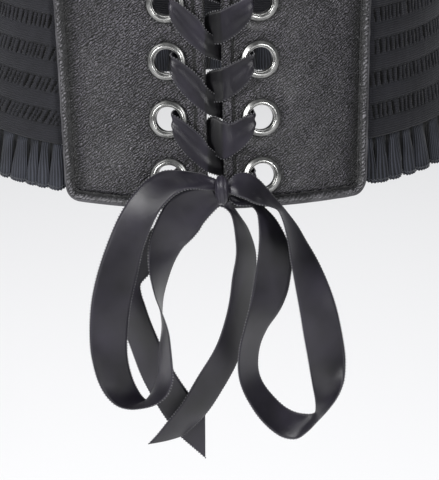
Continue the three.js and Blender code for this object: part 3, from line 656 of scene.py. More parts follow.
def panel_pattern():
    """Flat pattern of a panel: grid columns and rows, with rings round each hole."""
    at_bottom = REACH_AT_BOTTOM - PANEL_MARGIN
    left = EYELET_SIDE - HOLE_CELL
    right = EYELET_SIDE + HOLE_CELL
    columns = np.concatenate([np.linspace(HALF_GAP, left, STEPS_TO_HOLES + 1),
                              np.linspace(left, right, HOLE_STEPS + 1)[1:],
                              np.linspace(right, at_bottom - 3, 36)[1:],
                              np.linspace(at_bottom - 3, at_bottom, 7)[1:]])
    rows = [BOTTOM + PANEL_MARGIN]
    starts = []
    for level in sorted(EYELET_LEVELS):
        rows.extend(np.linspace(rows[-1], level - HOLE_CELL, 11 if starts else 2)[1:])
        starts.append(len(rows) - 1)
        rows.extend(np.linspace(level - HOLE_CELL, level + HOLE_CELL, HOLE_STEPS + 1)[1:])
    rows.extend(np.linspace(rows[-1], TOP - PANEL_MARGIN, 3)[1:])
    across, level = np.meshgrid(columns, rows)
    points = [tuple(p) for p in np.stack([across, level], -1).reshape(-1, 2)]
    index = numbered(len(rows), len(columns))
    whole = np.ones((len(rows) - 1, len(columns) - 1), bool)
    cut = slice(STEPS_TO_HOLES, STEPS_TO_HOLES + HOLE_STEPS)
    for start in starts:
        whole[start:start + HOLE_STEPS, cut] = False
    faces = grid_faces(index)[whole.ravel()].tolist()
    for start, centre in zip(starts, sorted(EYELET_LEVELS)):
        ring = rim(index[start:start + HOLE_STEPS + 1, cut.start:cut.stop + 1]).tolist()
        outer = [points[k] for k in ring]
        before = ring
        for part in (0.4, 0.8, 1.0):
            fresh = []
            for x, z in outer:
                turn = math.atan2(z - centre, x - EYELET_SIDE)
                px = EYELET_SIDE + LEATHER_HOLE * math.cos(turn)
                pz = centre + LEATHER_HOLE * math.sin(turn)
                fresh.append(len(points))
                points.append((x + (px - x) * part, z + (pz - z) * part))
            faces += tube_faces(np.array([before, fresh]))
            before = fresh
    used = sorted({k for face in faces for k in face})
    renumber = {k: n for n, k in enumerate(used)}
    return np.array(points)[used], [tuple(renumber[k] for k in face) for face in faces]


def panel_surface(side, s, z):
    """Height of a panel's front: fold along the lacing edge, dents and a soft valley."""
    reach = panel_reach(z) - PANEL_MARGIN
    fold_edge = HALF_GAP + FOLD_WIDTH
    fold = 0.6 * (1 - smooth(fold_edge - 0.9, fold_edge + 0.1, s))
    fold -= 0.45 * (1 - smooth(0, 1.6, s - HALF_GAP))
    groove = -0.9 * np.exp(-((s - fold_edge - 0.25) / 0.7) ** 2)
    from_edge = np.minimum(reach - s, np.minimum(z - BOTTOM - PANEL_MARGIN, TOP - PANEL_MARGIN - z))
    ends = np.minimum(z - BOTTOM, TOP - z) - PANEL_MARGIN
    valley = -1.1 * (1 - smooth(0.0, 9.0, reach - s) * smooth(0.0, 3.2, ends))
    waves = 0.16 * soft_noise(11 + side, s, z, 16) + 0.3 * soft_noise(23 + side, s, z, 46)
    waves *= smooth(0, 4, from_edge) * smooth(fold_edge, fold_edge + 5, s)
    dent = np.zeros_like(s)
    for level in EYELET_LEVELS:
        away = np.hypot(s - EYELET_SIDE, z - level)
        dent -= 0.45 * (1 - smooth(9.5, 14.5, away))
        waves = waves * smooth(10, 14, away)
    return PANEL_BACK + PANEL_THICKNESS + fold + groove + valley + waves + dent


def leather_panel(word, side):
    pattern, faces = panel_pattern()
    s, z = pattern[:, 0], pattern[:, 1]
    right = EYELET_SIDE + HOLE_CELL
    past = np.clip((s - right) / (REACH_AT_BOTTOM - PANEL_MARGIN - right), 0, 1)
    round_off = CORNER - PANEL_MARGIN
    over = np.maximum(0, s - (REACH_AT_BOTTOM - CORNER))
    lift = round_off - np.sqrt(np.maximum(0, round_off ** 2 - over ** 2))
    low = BOTTOM + PANEL_MARGIN
    high = TOP - PANEL_MARGIN
    z = low + lift + (high - low - 2 * lift) * (z - low) / (high - low)
    s = s + (panel_reach(z) - REACH_AT_BOTTOM) * past
    front = on_body(side * s, z, panel_surface(side, s, z))
    back = on_body(side * s, z, PANEL_BACK)
    count = len(pattern)
    sides = {}
    for face in faces:
        for a, b in zip(face, face[1:] + face[:1]):
            if (b, a) in sides:
                del sides[(b, a)]
            else:
                sides[(a, b)] = True
    walls = [(b, a, a + count, b + count) for a, b in sides]
    turned = [tuple(k + count for k in reversed(face)) for face in faces]
    flat = np.concatenate([np.stack([s, z], -1)] * 2)
    piece = make_mesh(f"{word}_leather_panel_skin", np.concatenate([front, back]),
                      faces + turned + walls, flat, LEATHER)
    from_side = panel_reach(z) - PANEL_MARGIN - s
    from_ends = np.minimum(z - BOTTOM, TOP - z) - PANEL_MARGIN
    # Painted shade: darker in the soft valley by the outer edge, a little along the ends, and in the
    # dents round the grommets.
    hollow = 1.1 * (1 - smooth(0.0, 7.0, from_side)) + 0.2 * (1 - smooth(0.0, 2.6, from_ends))
    for level in EYELET_LEVELS:
        hollow += 0.6 * (1 - smooth(8.6, 11.8, np.hypot(s - EYELET_SIDE, z - level)))
    keep_on_points(piece.data, "hollow", np.concatenate([hollow, hollow]))
    settle(piece, "leather", f"{word}_leather_panel")


def edge_line(inset, side_steps, end_steps, corner_steps):
    """Edge of a panel set in by a margin: bottom, outer side and top, as (s, z)."""
    radius = CORNER - inset
    low_centre = REACH_AT_BOTTOM - CORNER
    high_centre = panel_reach(TOP) - CORNER
    line = [(s, BOTTOM + inset) for s in np.linspace(HALF_GAP, low_centre, end_steps + 1)]
    for i in range(1, corner_steps + 1):
        turn = math.pi / 2 * i / corner_steps
        line.append((low_centre + radius * math.sin(turn), BOTTOM + CORNER - radius * math.cos(turn)))
    for z in np.linspace(BOTTOM + CORNER, TOP - CORNER, side_steps + 1)[1:-1]:
        line.append((panel_reach(z) - inset, z))
    for i in range(corner_steps + 1):
        turn = math.pi / 2 * i / corner_steps
        line.append((high_centre + radius * math.cos(turn), TOP - CORNER + radius * math.sin(turn)))
    line += [(s, TOP - inset) for s in np.linspace(high_centre, HALF_GAP, end_steps + 1)[1:]]
    return np.array(line)


BINDING_PROFILE = [(0.05, 0.9), (0.0, 1.5), (0.1, 2.3), (0.42, 2.95), (0.9, 3.2), (1.3, 3.12),
                   (1.65, 3.2), (2.2, 3.45), (2.8, 3.42), (3.4, 2.95), (3.9, 2.3), (4.4, 1.6),
                   (4.9, 1.22), (5.3, 1.08), (4.3, 0.6), (3.4, 0.15), (2.2, 0.0), (1.0, 0.2)]


def edge_binding(word, side):
    lines = [edge_line(inset, side_steps=150, end_steps=68, corner_steps=14)
             for inset, _ in BINDING_PROFILE]
    run = run_along(lines[0])
    rows = []
    for (inset, height), line in zip(BINDING_PROFILE, lines):
        s, z = line[:, 0], line[:, 1]
        plump = 0.16 * soft_noise(5 + side, run, inset * 3.0, 9) * smooth(0.3, 3.0, height)
        rows.append(on_body(side * s, z, PANEL_BACK + height + np.minimum(plump, 0.25)))
    points = np.stack(rows, axis=1).reshape(-1, 3)
    index = numbered(len(run), len(BINDING_PROFILE))
    faces = tube_faces(index) + [index[0].tolist()[::-1], index[-1].tolist()]
    flat = np.stack(np.broadcast_arrays(run[:, None], [[p[0] for p in BINDING_PROFILE]]), -1)
    piece = make_mesh(f"{word}_binding_skin", points, faces, flat.reshape(-1, 2), BINDING)
    from_side = [panel_reach(line[:, 1]) - line[:, 0] for line in lines]
    keep_on_points(piece.data, "pressed", smooth(9, 15, np.stack(from_side, axis=1)))
    settle(piece, "binding", f"{word}_edge_binding")


# Rows of stitches

def stitch_mesh(name, material):
    """One short thread: a few-sided bead, one unit long and one unit thick."""
    rings = ((-0.5, 0.12), (-0.3, 0.42), (0.3, 0.42), (0.5, 0.12))
    turns = [2 * math.pi * i / THREAD_SIDES for i in range(THREAD_SIDES)]
    points = [(share, radius * math.cos(turn), radius * math.sin(turn))
              for share, radius in rings for turn in turns]
    index = numbered(len(rings), THREAD_SIDES)
    faces = [index[0].tolist()[::-1], index[-1].tolist()] + tube_faces(index)
    mesh = bpy.data.meshes.new(name)
    mesh.from_pydata(points, [], faces)
    mesh.shade_smooth()
    mesh.materials.append(material)
    face_outward(mesh)
    return bpy.data.objects.new(name, mesh)


def read_attribute(tree, name, kind="FLOAT"):
    node = put(tree, "GeometryNodeInputNamedAttribute", {"data_type": kind}, Name=name)
    return Value(tree, node.outputs["Attribute"])


def end_tree(tree, ins, outs, made):
    """The tree's geometry made real, given its finish and handed out."""
    real = put(tree, "GeometryNodeRealizeInstances", Geometry=made)
    finish = put(tree, "GeometryNodeSetMaterial", Geometry=real.outputs[0], Material=ins["Finish"])
    tree.links.new(finish.outputs[0], outs[0])


def stitch_row_tree():
    """Threads set along a line, each turned about the line's outward direction."""
    tree, ins, outs, given = new_group(
        "GeometryNodeTree", "stitch row",
        [("Line", GEOMETRY, None), ("Thread", "NodeSocketObject", None), ("Pitch", FLOAT, 0.002),
         ("Length", FLOAT, 0.001), ("Thickness", FLOAT, 0.0005), ("Zigzag", FLOAT, 0.0),
         ("Slant", FLOAT, 0.0), ("Unevenness", FLOAT, 0.1), ("Seed", "NodeSocketInt", 1),
         ("Finish", "NodeSocketMaterial", None)],
        [("Stitches", GEOMETRY)])
    curve = put(tree, "GeometryNodeMeshToCurve", Mesh=ins["Line"])
    even = put(tree, "GeometryNodeResampleCurve", {"mode": "LENGTH"}, Curve=curve.outputs[0],
               Length=given["Pitch"])
    facing = put(tree, "FunctionNodeAlignRotationToVector", {"axis": "Z"},
                 Vector=read_attribute(tree, "outward", "FLOAT_VECTOR"))
    tangent = put(tree, "GeometryNodeInputTangent")
    ahead = put(tree, "FunctionNodeAlignRotationToVector", {"axis": "X", "pivot_axis": "Z"},
                Vector=tangent.outputs[0], Rotation=facing.outputs[0])
    index = put(tree, "GeometryNodeInputIndex")
    parity = Value(tree, index.outputs[0]).do("MODULO", 2.0) * 2.0 - 1.0
    jitter = put(tree, "FunctionNodeRandomValue", {"data_type": "FLOAT"}, Seed=ins["Seed"])
    jitter.inputs[2].default_value = -1.0
    jitter.inputs[3].default_value = 1.0
    shake = Value(tree, jitter.outputs[1]) * given["Unevenness"]
    turn = put(tree, "FunctionNodeAxisAngleToRotation", Axis=(0, 0, 1),
               Angle=parity * given["Zigzag"] + given["Slant"] + shake)
    turned = put(tree, "FunctionNodeRotateRotation", {"rotation_space": "LOCAL"},
                 Rotation=ahead.outputs[0], Rotate_By=turn.outputs[0])
    size = put(tree, "ShaderNodeCombineXYZ", X=given["Length"] * (shake + 1.0),
               Y=given["Thickness"], Z=given["Thickness"])
    thread = put(tree, "GeometryNodeObjectInfo", Object=ins["Thread"])
    placed = put(tree, "GeometryNodeInstanceOnPoints", Points=even.outputs[0],
                 Instance=thread.outputs["Geometry"], Rotation=turned.outputs[0],
                 Scale=size.outputs[0])
    end_tree(tree, ins, outs, placed.outputs[0])
    return tree


STITCH_ROW = stitch_row_tree()
THREADS = {m.name: stitch_mesh("thread of " + m.name, m)
           for m in (LEATHER_THREAD, HEM_THREAD, PICOT_THREAD)}


def grown(piece, tree, values):
    """Run a node tree on a piece and keep its result as a plain smooth mesh."""
    modifier = piece.modifiers.new("grow", "NODES")
    modifier.node_group = tree
    sockets = {item.name: item.identifier for item in tree.interface.items_tree
               if item.in_out == "INPUT"}
    for name, value in values.items():
        modifier[sockets[name]] = value
    bpy.context.view_layer.update()
    shape = piece.evaluated_get(bpy.context.evaluated_depsgraph_get())
    result = bpy.data.meshes.new_from_object(shape)
    piece.modifiers.remove(modifier)
    result.name = piece.data.name
    piece.data = result
    piece.data.shade_smooth()


def stitch_row(name, lines, outward, thread, pitch, length, thickness, slot,
               zigzag=0.0, slant=0.0, uneven=0.12, seed=1):
    """A piece of stitches along lines of points in millimetres."""
    points = np.concatenate(lines) * MM
    edges = []
    start = 0
    for line in lines:
        edges += [(start + i, start + i + 1) for i in range(len(line) - 1)]
        start += len(line)
    mesh = bpy.data.meshes.new(name)
    mesh.from_pydata(points.tolist(), edges, [])
    keep_vectors(mesh, "outward", np.concatenate(outward))
    piece = linked(name, mesh)
    grown(piece, STITCH_ROW, {
        "Thread": THREADS[thread.name], "Pitch": pitch * MM, "Length": length * MM,
        "Thickness": thickness * MM, "Zigzag": zigzag, "Slant": slant, "Unevenness": uneven,
        "Seed": seed, "Finish": thread})
    return settle(piece, slot)


def panel_stitches(word, side):
    """Stitches beside the fold at the lacing edge, and inside the binding."""
    z = np.linspace(BOTTOM + 5.6, TOP - 5.6, 160)
    s = np.full_like(z, HALF_GAP + FOLD_WIDTH + 0.3)
    fold = on_body(side * s, z, panel_surface(side, s, z) + 0.12)
    _, _, fold_out = axes_at(side * s, z)
    inset = edge_line(STITCHES_FROM_EDGE, side_steps=150, end_steps=60, corner_steps=12)[2:-2]
    s, z = inset[:, 0], inset[:, 1]
    bound = on_body(side * s, z, PANEL_BACK + 1.45)
    _, _, bound_out = axes_at(side * s, z)
    stitch_row(f"{word}_panel_stitches", [fold, bound], [fold_out, bound_out], LEATHER_THREAD,
               pitch=5.3, length=3.9, thickness=1.0, slot="leather", uneven=0.06, seed=3 + side)


# Grommets

# Ring profile: distance from the axis, height from the panel's back, and painted shade (0 on the bright
# crest, 1 in the groove), kept as the flat v coordinate.
EYELET_PROFILE = [
    (6.10, -1.05, 0.6), (6.35, -1.15, 0.4), (7.20, -1.05, 0.2), (8.00, -0.80, 0.2),
    (8.20, -0.62, 0.6), (7.60, -0.50, 1.0), (6.65, -0.50, 1.0), (6.65, 2.05, 1.0),
    (8.60, 2.05, 1.0), (9.22, 2.16, 1.0), (9.36, 2.45, 0.7), (9.24, 2.78, 0.4),
    (8.90, 3.06, 0.35), (8.50, 3.28, 0.35), (8.16, 3.46, 0.3), (7.98, 3.66, 0.05),
    (7.72, 3.88, 0.0), (7.40, 3.97, 0.0), (7.08, 3.90, 0.0), (6.84, 3.68, 0.1),
    (6.72, 3.42, 0.8), (6.62, 3.36, 1.0), (6.48, 3.44, 0.4), (6.30, 3.42, 0.0),
    (6.16, 3.20, 0.1), (6.10, 2.80, 0.6), (6.10, 0.6, 0.9)]


def eyelet(word, side, row):
    """A rolled ring in front, a barrel through the leather and a washer behind."""
    profile = np.array(EYELET_PROFILE)
    turn = 2 * math.pi * np.arange(EYELET_STEPS) / EYELET_STEPS
    along, up, out = (v.reshape(3) for v in axes_at(np.array(side * EYELET_SIDE),
                                                    np.array(EYELET_LEVELS[row])))
    centre = on_body(side * EYELET_SIDE, EYELET_LEVELS[row], PANEL_BACK).reshape(3)
    ring = np.cos(turn)[:, None] * along + np.sin(turn)[:, None] * up
    points = (centre + profile[None, :, 0:1] * ring[:, None, :]
              + profile[None, :, 1:2] * out[None, None, :])
    index = numbered(EYELET_STEPS, len(profile))
    after = np.roll(index, -1, axis=0)
    below = np.roll(index, -1, axis=1)
    faces = np.stack([index, after, np.roll(after, -1, axis=1), below], axis=-1).reshape(-1, 4)
    flat = np.stack(np.broadcast_arrays(turn[:, None] * 8, profile[None, :, 2] / MM), -1)
    name = f"{word}_eyelet_{row + 1}"
    settle(make_mesh(name + "_ring", points.reshape(-1, 3), faces, flat.reshape(-1, 2), PEWTER),
           "eyelet_metal", name)


# Elastic and frills

def wrapped_sheet(name, shares, levels, back_levels, hem, thickness, backs):
    """A closed sheet round the back, with the arc, level and relief kept on its points.

    The relief of its inner side is a share, backs, of that of its outer side.
    """
    parts = []
    for rows in (levels, back_levels):
        share, level = np.meshgrid(shares, rows)
        held = level if hem is None else np.full_like(level, hem)
        start = panel_reach(level) - TUCK
        arc = start + (2 * half_round(level) - 2 * start) * share
        around = 2 * half_round(held) - 2 * (panel_reach(held) - TUCK)
        near = np.minimum(share, 1 - share) * around
        relief = smooth(0, 1, np.clip((near - TUCK - RELIEF_START) / RELIEF_RUN, 0, 1))
        parts.append({"level": level, "arc": 2 * half_round(held) * share, "relief": relief,
                      "place": arc})
    front, back = parts
    back["relief"] = back["relief"] * backs
    outside = on_body(front["place"], front["level"], 0)
    inside = on_body(back["place"], back["level"], -thickness)
    points, faces = double_sheet(outside, inside)

    def both(label):
        return np.concatenate([part[label].ravel() for part in parts])

    piece = make_mesh(name, points, faces, np.stack([both("arc"), both("level")], -1))
    for label in ("arc", "level", "relief"):
        keep_on_points(piece.data, label, both(label))
    along, _, _ = axes_at(both("place"), both("level"))
    outward = unit(on_body(both("place"), both("level"), 1) - on_body(both("place"), both("level"), 0))
    upward = unit(np.cross(outward, along))
    for label, value in (("outward", outward), ("sideways", along), ("upward", upward)):
        keep_vectors(piece.data, label, value)
    return piece


def point_noise(tree, across, up, scale, seed):
    """A smooth random number at a place on the flat cloth, from -0.5 to 0.5."""
    place = put(tree, "ShaderNodeCombineXYZ", X=across, Y=up, Z=seed)
    return noise(tree, place.outputs[0], scale, 1.0) - 0.5


def move_points(tree, ins, outs, hollow, **moves):
    """Move the points by heights in millimetres, keep the painted shade of each, set the finish."""
    total = None
    for name, value in moves.items():
        way = read_attribute(tree, name, "FLOAT_VECTOR")
        part = put_vector(tree, "SCALE", way.socket, Scale=value * MM)
        total = part if total is None else put_vector(tree, "ADD", total, part)
    kept = put(tree, "GeometryNodeStoreNamedAttribute", {"data_type": "FLOAT"}, Name="hollow",
               Geometry=ins["Cloth"], Value=hollow)
    moved = put(tree, "GeometryNodeSetPosition", Geometry=kept.outputs["Geometry"], Offset=total)
    end_tree(tree, ins, outs, moved.outputs[0])


def shirring_tree():
    """Smooth elastic bands, and between them rows gathered into pleats with open slots."""
    tree, ins, outs, given = new_group(
        "GeometryNodeTree", "shirring",
        [("Cloth", GEOMETRY, None), ("Band Rise", FLOAT, 1.5), ("Edge Rise", FLOAT, 0.9),
         ("Ridge Rise", FLOAT, 1.35), ("Slot Depth", FLOAT, 2.1), ("Slot Share", FLOAT, 0.155),
         ("Pleat Pitch", FLOAT, 4.2), ("Slant", FLOAT, 0.13), ("Seed", FLOAT, 3.0),
         ("Finish", "NodeSocketMaterial", None)],
        [("Cloth", GEOMETRY)])
    arc = read_attribute(tree, "arc")
    above = read_attribute(tree, "level") - (WRAP_BOTTOM + BAND_HEIGHT - ROW_OVERLAP)
    row = (above / BAND_PITCH).do("FLOOR")
    within = above - row * BAND_PITCH
    in_rows = row.do("GREATER_THAN", -0.5) * (row * -1.0 + (BANDS - 1.5)).do("GREATER_THAN", 0.0)
    gathered = within.do("LESS_THAN", ROW_HEIGHT) * in_rows
    over_band = (within - ROW_HEIGHT) / ((BAND_PITCH - ROW_HEIGHT) / 2) - 1.0
    band = (over_band.do("ABSOLUTE").do("POWER", 4.0) * -1.0 + 1.0).do("MAXIMUM", 0.0)
    middle = within / (ROW_HEIGHT / 2) - 1.0
    lens = (middle * middle * -1.0 + 1.0).do("MAXIMUM", 0.0)
    row_seed = row * 7.31 + given["Seed"]
    drift = point_noise(tree, arc, row_seed, 0.06, 0.5)
    bend = point_noise(tree, arc, row_seed, 0.12, 4.5)
    phase = arc / given["Pleat Pitch"] + drift * 2.4 + row * 0.37
    phase = phase + middle * (given["Slant"] + bend * 0.35)
    number = phase.do("FLOOR")
    off_centre = phase - number - 0.5
    luck = point_noise(tree, number, row_seed, 1.7, 2.5)
    wide = lens.do("POWER", 0.4) * given["Slot Share"] * (luck * 1.3 + 1.0)
    teardrop = wide * (middle * luck * 1.3 + 1.0)
    to_edge = off_centre.do("ABSOLUTE") - teardrop
    open_part = to_edge.smooth(0.07, -0.07) * lens.smooth(0.0, 0.2)
    second = (off_centre.do("ABSOLUTE") - 0.44).smooth(-0.03, 0.05) * 0.3
    ridge = given["Ridge Rise"] + luck * 0.5 - second
    slot = ridge - open_part * given["Slot Depth"]
    blend = lens.smooth(0.0, 0.3)
    low_line = slot * blend + (blend * -1.0 + 1.0) * given["Edge Rise"]
    tug = point_noise(tree, arc, row_seed, 0.2, 9.0) * 0.4
    high = given["Edge Rise"] + band * (given["Band Rise"] - given["Edge Rise"] + tug)
    total = low_line * gathered + high * (gathered * -1.0 + 1.0)
    relief = read_attribute(tree, "relief")
    # Painted shade of the pleats: dark in the open slots and along the edges of the gathered rows, a
    # little lighter where neighbouring pleats meet.
    hollow = (open_part + (blend * -1.0 + 1.0) * 0.15 - second * 0.6) * gathered * relief
    move_points(tree, ins, outs, hollow, outward=total * relief)
    return tree


def frill_tree():
    """Cloth gathered at its seam, in broad leaf-like folds parted by deep narrow slots."""
    tree, ins, outs, given = new_group(
        "GeometryNodeTree", "gathered frill",
        [("Cloth", GEOMETRY, None), ("Seam", FLOAT, 0.0), ("Hem", FLOAT, 1.0), ("Lift", FLOAT, 1.7),
         ("Fold Pitch", FLOAT, 13.0), ("Fold Depth", FLOAT, 3.6), ("Crimp Pitch", FLOAT, 1.5),
         ("Overlap", FLOAT, 1.5), ("Hem Scallop", FLOAT, 1.6), ("Seed", FLOAT, 5.0),
         ("Finish", "NodeSocketMaterial", None)],
        [("Cloth", GEOMETRY)])
    arc = read_attribute(tree, "arc")
    relief = read_attribute(tree, "relief")
    down = (read_attribute(tree, "level") - given["Seam"]) / (given["Hem"] - given["Seam"])
    wander = point_noise(tree, arc, given["Seed"], 0.03, 1.0) * 2.0
    lean = point_noise(tree, arc, given["Seed"], 0.05, 6.0) * down * 1.1
    phase = arc / given["Fold Pitch"] + wander + lean
    number = phase.do("FLOOR")
    off_centre = (phase - number) * 2.0 - 1.0
    luck = point_noise(tree, number, given["Seed"], 1.7, 3.0)
    valley = off_centre.do("ABSOLUTE").do("POWER", 2.2)
    leaf = valley * -1.0 + 1.0
    tilt = off_centre * (luck * 1.2 + 0.35)
    arch = (down + leaf * 0.12).smooth(0.02, 0.3)
    crimp = (arc / given["Crimp Pitch"] * (2 * math.pi)).do("SINE")
    crimp = crimp * (down * -1.0 + 1.0).smooth(0.2, 0.95) * down.smooth(0.0, 0.1) * 0.22
    depth = given["Fold Depth"] * (down * 0.35 + 0.65) * (luck * 0.5 + 1.0)
    out_by = given["Lift"] * down.do("POWER", 0.7) + (leaf - 0.62) * depth * arch
    out_by = out_by + tilt * down * 0.8 * leaf.smooth(0.0, 0.4) + crimp + 0.35
    side_by = (off_centre * math.pi).do("SINE") * given["Overlap"] * down.smooth(0.1, 0.8)
    # Painted shade in the narrow slots between the folds, a little stronger near the seam.
    hollow = valley.smooth(0.35, 0.8) * (down * -0.35 + 1.1) * relief
    hem = down.do("POWER", 2.0) * relief * given["Hem Scallop"]
    up_by = (leaf * -1.0 + 0.25 + luck * 0.5) * hem
    move_points(tree, ins, outs, hollow, outward=out_by * relief, sideways=side_by * relief,
                upward=up_by)
    return tree


def elastic_wrap():
    """The shirred wrap, from under one panel round the back to under the other."""
    levels = [WRAP_BOTTOM, WRAP_BOTTOM + WRAP_HEM]
    for i in range(BANDS):
        low = WRAP_BOTTOM + BAND_PITCH * i
        band_low = low + (ROW_OVERLAP if i else WRAP_HEM)
        band_high = low + BAND_HEIGHT - (ROW_OVERLAP if i < BANDS - 1 else 0)
        levels += list(band_low + (band_high - band_low) * np.array([0.12, 0.5, 0.88, 1.0]))
        if i < BANDS - 1:
            levels += list(band_high + ROW_HEIGHT * np.array([0.1, 0.25, 0.42, 0.58, 0.75, 0.9, 1]))
    cloth = wrapped_sheet("elastic_wrap_cloth", np.linspace(0, 1, WRAP_COLUMNS), np.array(levels),
                          np.linspace(WRAP_BOTTOM, WRAP_TOP, 11), hem=None,
                          thickness=ELASTIC_THICKNESS, backs=0.0)
    grown(cloth, shirring_tree(), {"Seed": 3.0, "Finish": ELASTIC})
    settle(cloth, "elastic", "elastic_wrap")


def frill(name, seam, hem, seed):
    levels = seam + (hem - seam) * np.linspace(0, 1, 15) ** 0.85
    cloth = wrapped_sheet(name + "_cloth", np.linspace(0, 1, FRILL_COLUMNS), levels, levels, hem,
                          thickness=FRILL_THICKNESS, backs=1.0)
    tree = bpy.data.node_groups.get("gathered frill") or frill_tree()
    grown(cloth, tree, {"Seam": seam, "Hem": hem, "Seed": seed,
                       "Hem Scallop": math.copysign(1.6, seam - hem), "Finish": FRILL})
    settle(cloth, "frill_cloth", name)
    grid = read_points(cloth.data).reshape(2, len(levels), FRILL_COLUMNS, 3) / MM
    edge = (grid[0, -1] + grid[1, -1]) / 2
    out = unit(grid[0, -1] - grid[1, -1])
    hem_stitches = stitch_row(name + "_overlock", [edge, grid[0, -2] + 0.1 * out], [out, out],
                              HEM_THREAD, pitch=0.85, length=1.7, thickness=0.55,
                              slot="frill_cloth", zigzag=0.55, seed=int(seed))


# Ribbon

def through(points, steps):
    """Centripetal curve through points, at the given number of even steps of its index."""
    points = np.asarray(points, float)
    padded = np.concatenate([[2 * points[0] - points[1]], points, [2 * points[-1] - points[-2]]])
    place = np.linspace(0, len(points) - 1, steps + 1)
    low = np.minimum(place.astype(int), len(points) - 2)
    t = (place - low)[:, None]
    p0, p1, p2, p3 = (padded[low + k] for k in range(4))
    d0, d1, d2 = (np.maximum(np.linalg.norm(b - a, axis=1) ** 0.5, 1e-4)[:, None]
                  for a, b in ((p0, p1), (p1, p2), (p2, p3)))
    m1 = ((p1 - p0) / d0 - (p2 - p0) / (d0 + d1) + (p2 - p1) / d1) * d1
    m2 = ((p2 - p1) / d1 - (p3 - p1) / (d1 + d2) + (p3 - p2) / d2) * d1
    return ((2 * t ** 3 - 3 * t ** 2 + 1) * p1 + (t ** 3 - 2 * t ** 2 + t) * m1
            + (-2 * t ** 3 + 3 * t ** 2) * p2 + (t ** 3 - t ** 2) * m2)


def ribbon_sheet(a, b, cup, ripple, sway, seed):
    """Front and back points of a ribbon between its two edges, cupped, rippled and swayed."""
    part = np.linspace(0, 1, ACROSS_RIBBON + 1)[None, :, None]
    middle = (a + b) / 2
    ahead = unit(np.gradient(middle, axis=0))
    wide = np.linalg.norm(b - a, axis=1)
    face = unit(np.cross(ahead, unit(b - a)))
    run = run_along(middle)
    pick = np.random.default_rng(seed)
    shift = 0.9 * np.sin(run / 23 + pick.uniform(0, 6)) + 0.5 * np.sin(run / 9 + pick.uniform(0, 6))
    bunched = np.clip(1 - wide / RIBBON_WIDTH, 0, 0.6)[:, None]
    p = part[:, :, 0]
    lift = cup * (1 - (2 * p - 1) ** 2) * np.sin(run / 31 + pick.uniform(0, 6))[:, None] ** 2
    lift = lift + ripple * bunched * np.sin(2 * math.pi * (1.6 * p + 0.25 * shift[:, None]))
    free = smooth(6, 34, run) * smooth(6, 34, run[-1] - run)
    bend = 0.6 * np.sin(run / 7.5 + pick.uniform(0, 6)) + 0.4 * np.sin(run / 4.6 + pick.uniform(0, 6))
    lift = lift + (sway * free * bend)[:, None]
    centre = a[:, None, :] * (1 - part) + b[:, None, :] * part + face[:, None, :] * lift[..., None]
    half = face[:, None, :] * (RIBBON_THICKNESS / 2)
    flat = np.stack(np.broadcast_arrays(run[:, None], RIBBON_WIDTH * p), -1).reshape(-1, 2)
    return centre, centre + half, centre - half, np.concatenate([flat, flat]), face


def ribbon(name, a, b, cup, ripple, seed, sway=0.0, painted_shade_at=None):
    """A ribbon between two edge lines, with a row of picots along each edge."""
    centre, front, back, flat, face = ribbon_sheet(a, b, cup, ripple, sway, seed)
    points, faces = double_sheet(front, back)
    strip = make_mesh(name + "_strip", points, faces, flat, SATIN)
    if painted_shade_at is not None:
        # Painted shade kept on the strip's points, from the given function.
        keep_on_points(strip.data, "hollow", painted_shade_at(points))
    settle(strip, "satin_ribbon", name)
    edges = [centre[:, k] + 0.1 * unit(centre[:, k] - centre[:, j])
             for k, j in ((0, 1), (-1, -2))]
    picots = stitch_row(name + "_picots", edges, [face, face], PICOT_THREAD, pitch=1.5,
                        length=0.75, thickness=0.8, slot="satin_ribbon", slant=math.pi / 2,
                        uneven=0.08, seed=seed)
    return strip, picots, centre[:, ACROSS_RIBBON // 2]


# Lace route past one grommet: share of the way to the middle, rise as a share of the pitch,
# level through the leather, width as a share of the width in a hole, and lean
STEEP_RUN = [
    (0.536, 0.021, -0.84, 1.05, 0), (0.268, 0.000, -1.00, 1.02, 0),
    (0.125, -0.014, -0.56, 1.00, 0), (0.098, -0.018, 0.64, 1.00, 0),
    (0.107, -0.018, 1.70, 0.95, 0), (0.205, -0.100, 2.00, 1.16, 0.25),
    (0.375, -0.250, 1.88, 1.32, 0.50), (0.598, -0.447, 1.55, 1.42, 0.50),
    (0.839, -0.655, 1.45, 1.36, 0.12), (1.000, -0.755, 0.61, 1.26, 0),
    (1.161, -0.835, -0.46, 1.20, 0)]
SHALLOW_RUN = [
    (0.536, 0.149, -0.84, 1.05, 0), (0.268, 0.043, -1.00, 1.02, 0),
    (0.161, 0.007, -0.56, 0.86, 0), (0.147, -0.007, 0.64, 0.84, 0),
    (0.161, -0.014, 1.70, 0.84, 0), (0.241, -0.071, 2.00, 1.23, 0.08),
    (0.420, -0.185, 1.88, 1.53, 0.15), (0.607, -0.290, 1.52, 1.72, 0.14),
    (0.839, -0.385, 1.45, 1.85, 0.04), (1.000, -0.420, 0.61, 1.80, 0),
    (1.161, -0.500, -0.46, 1.70, 0)]

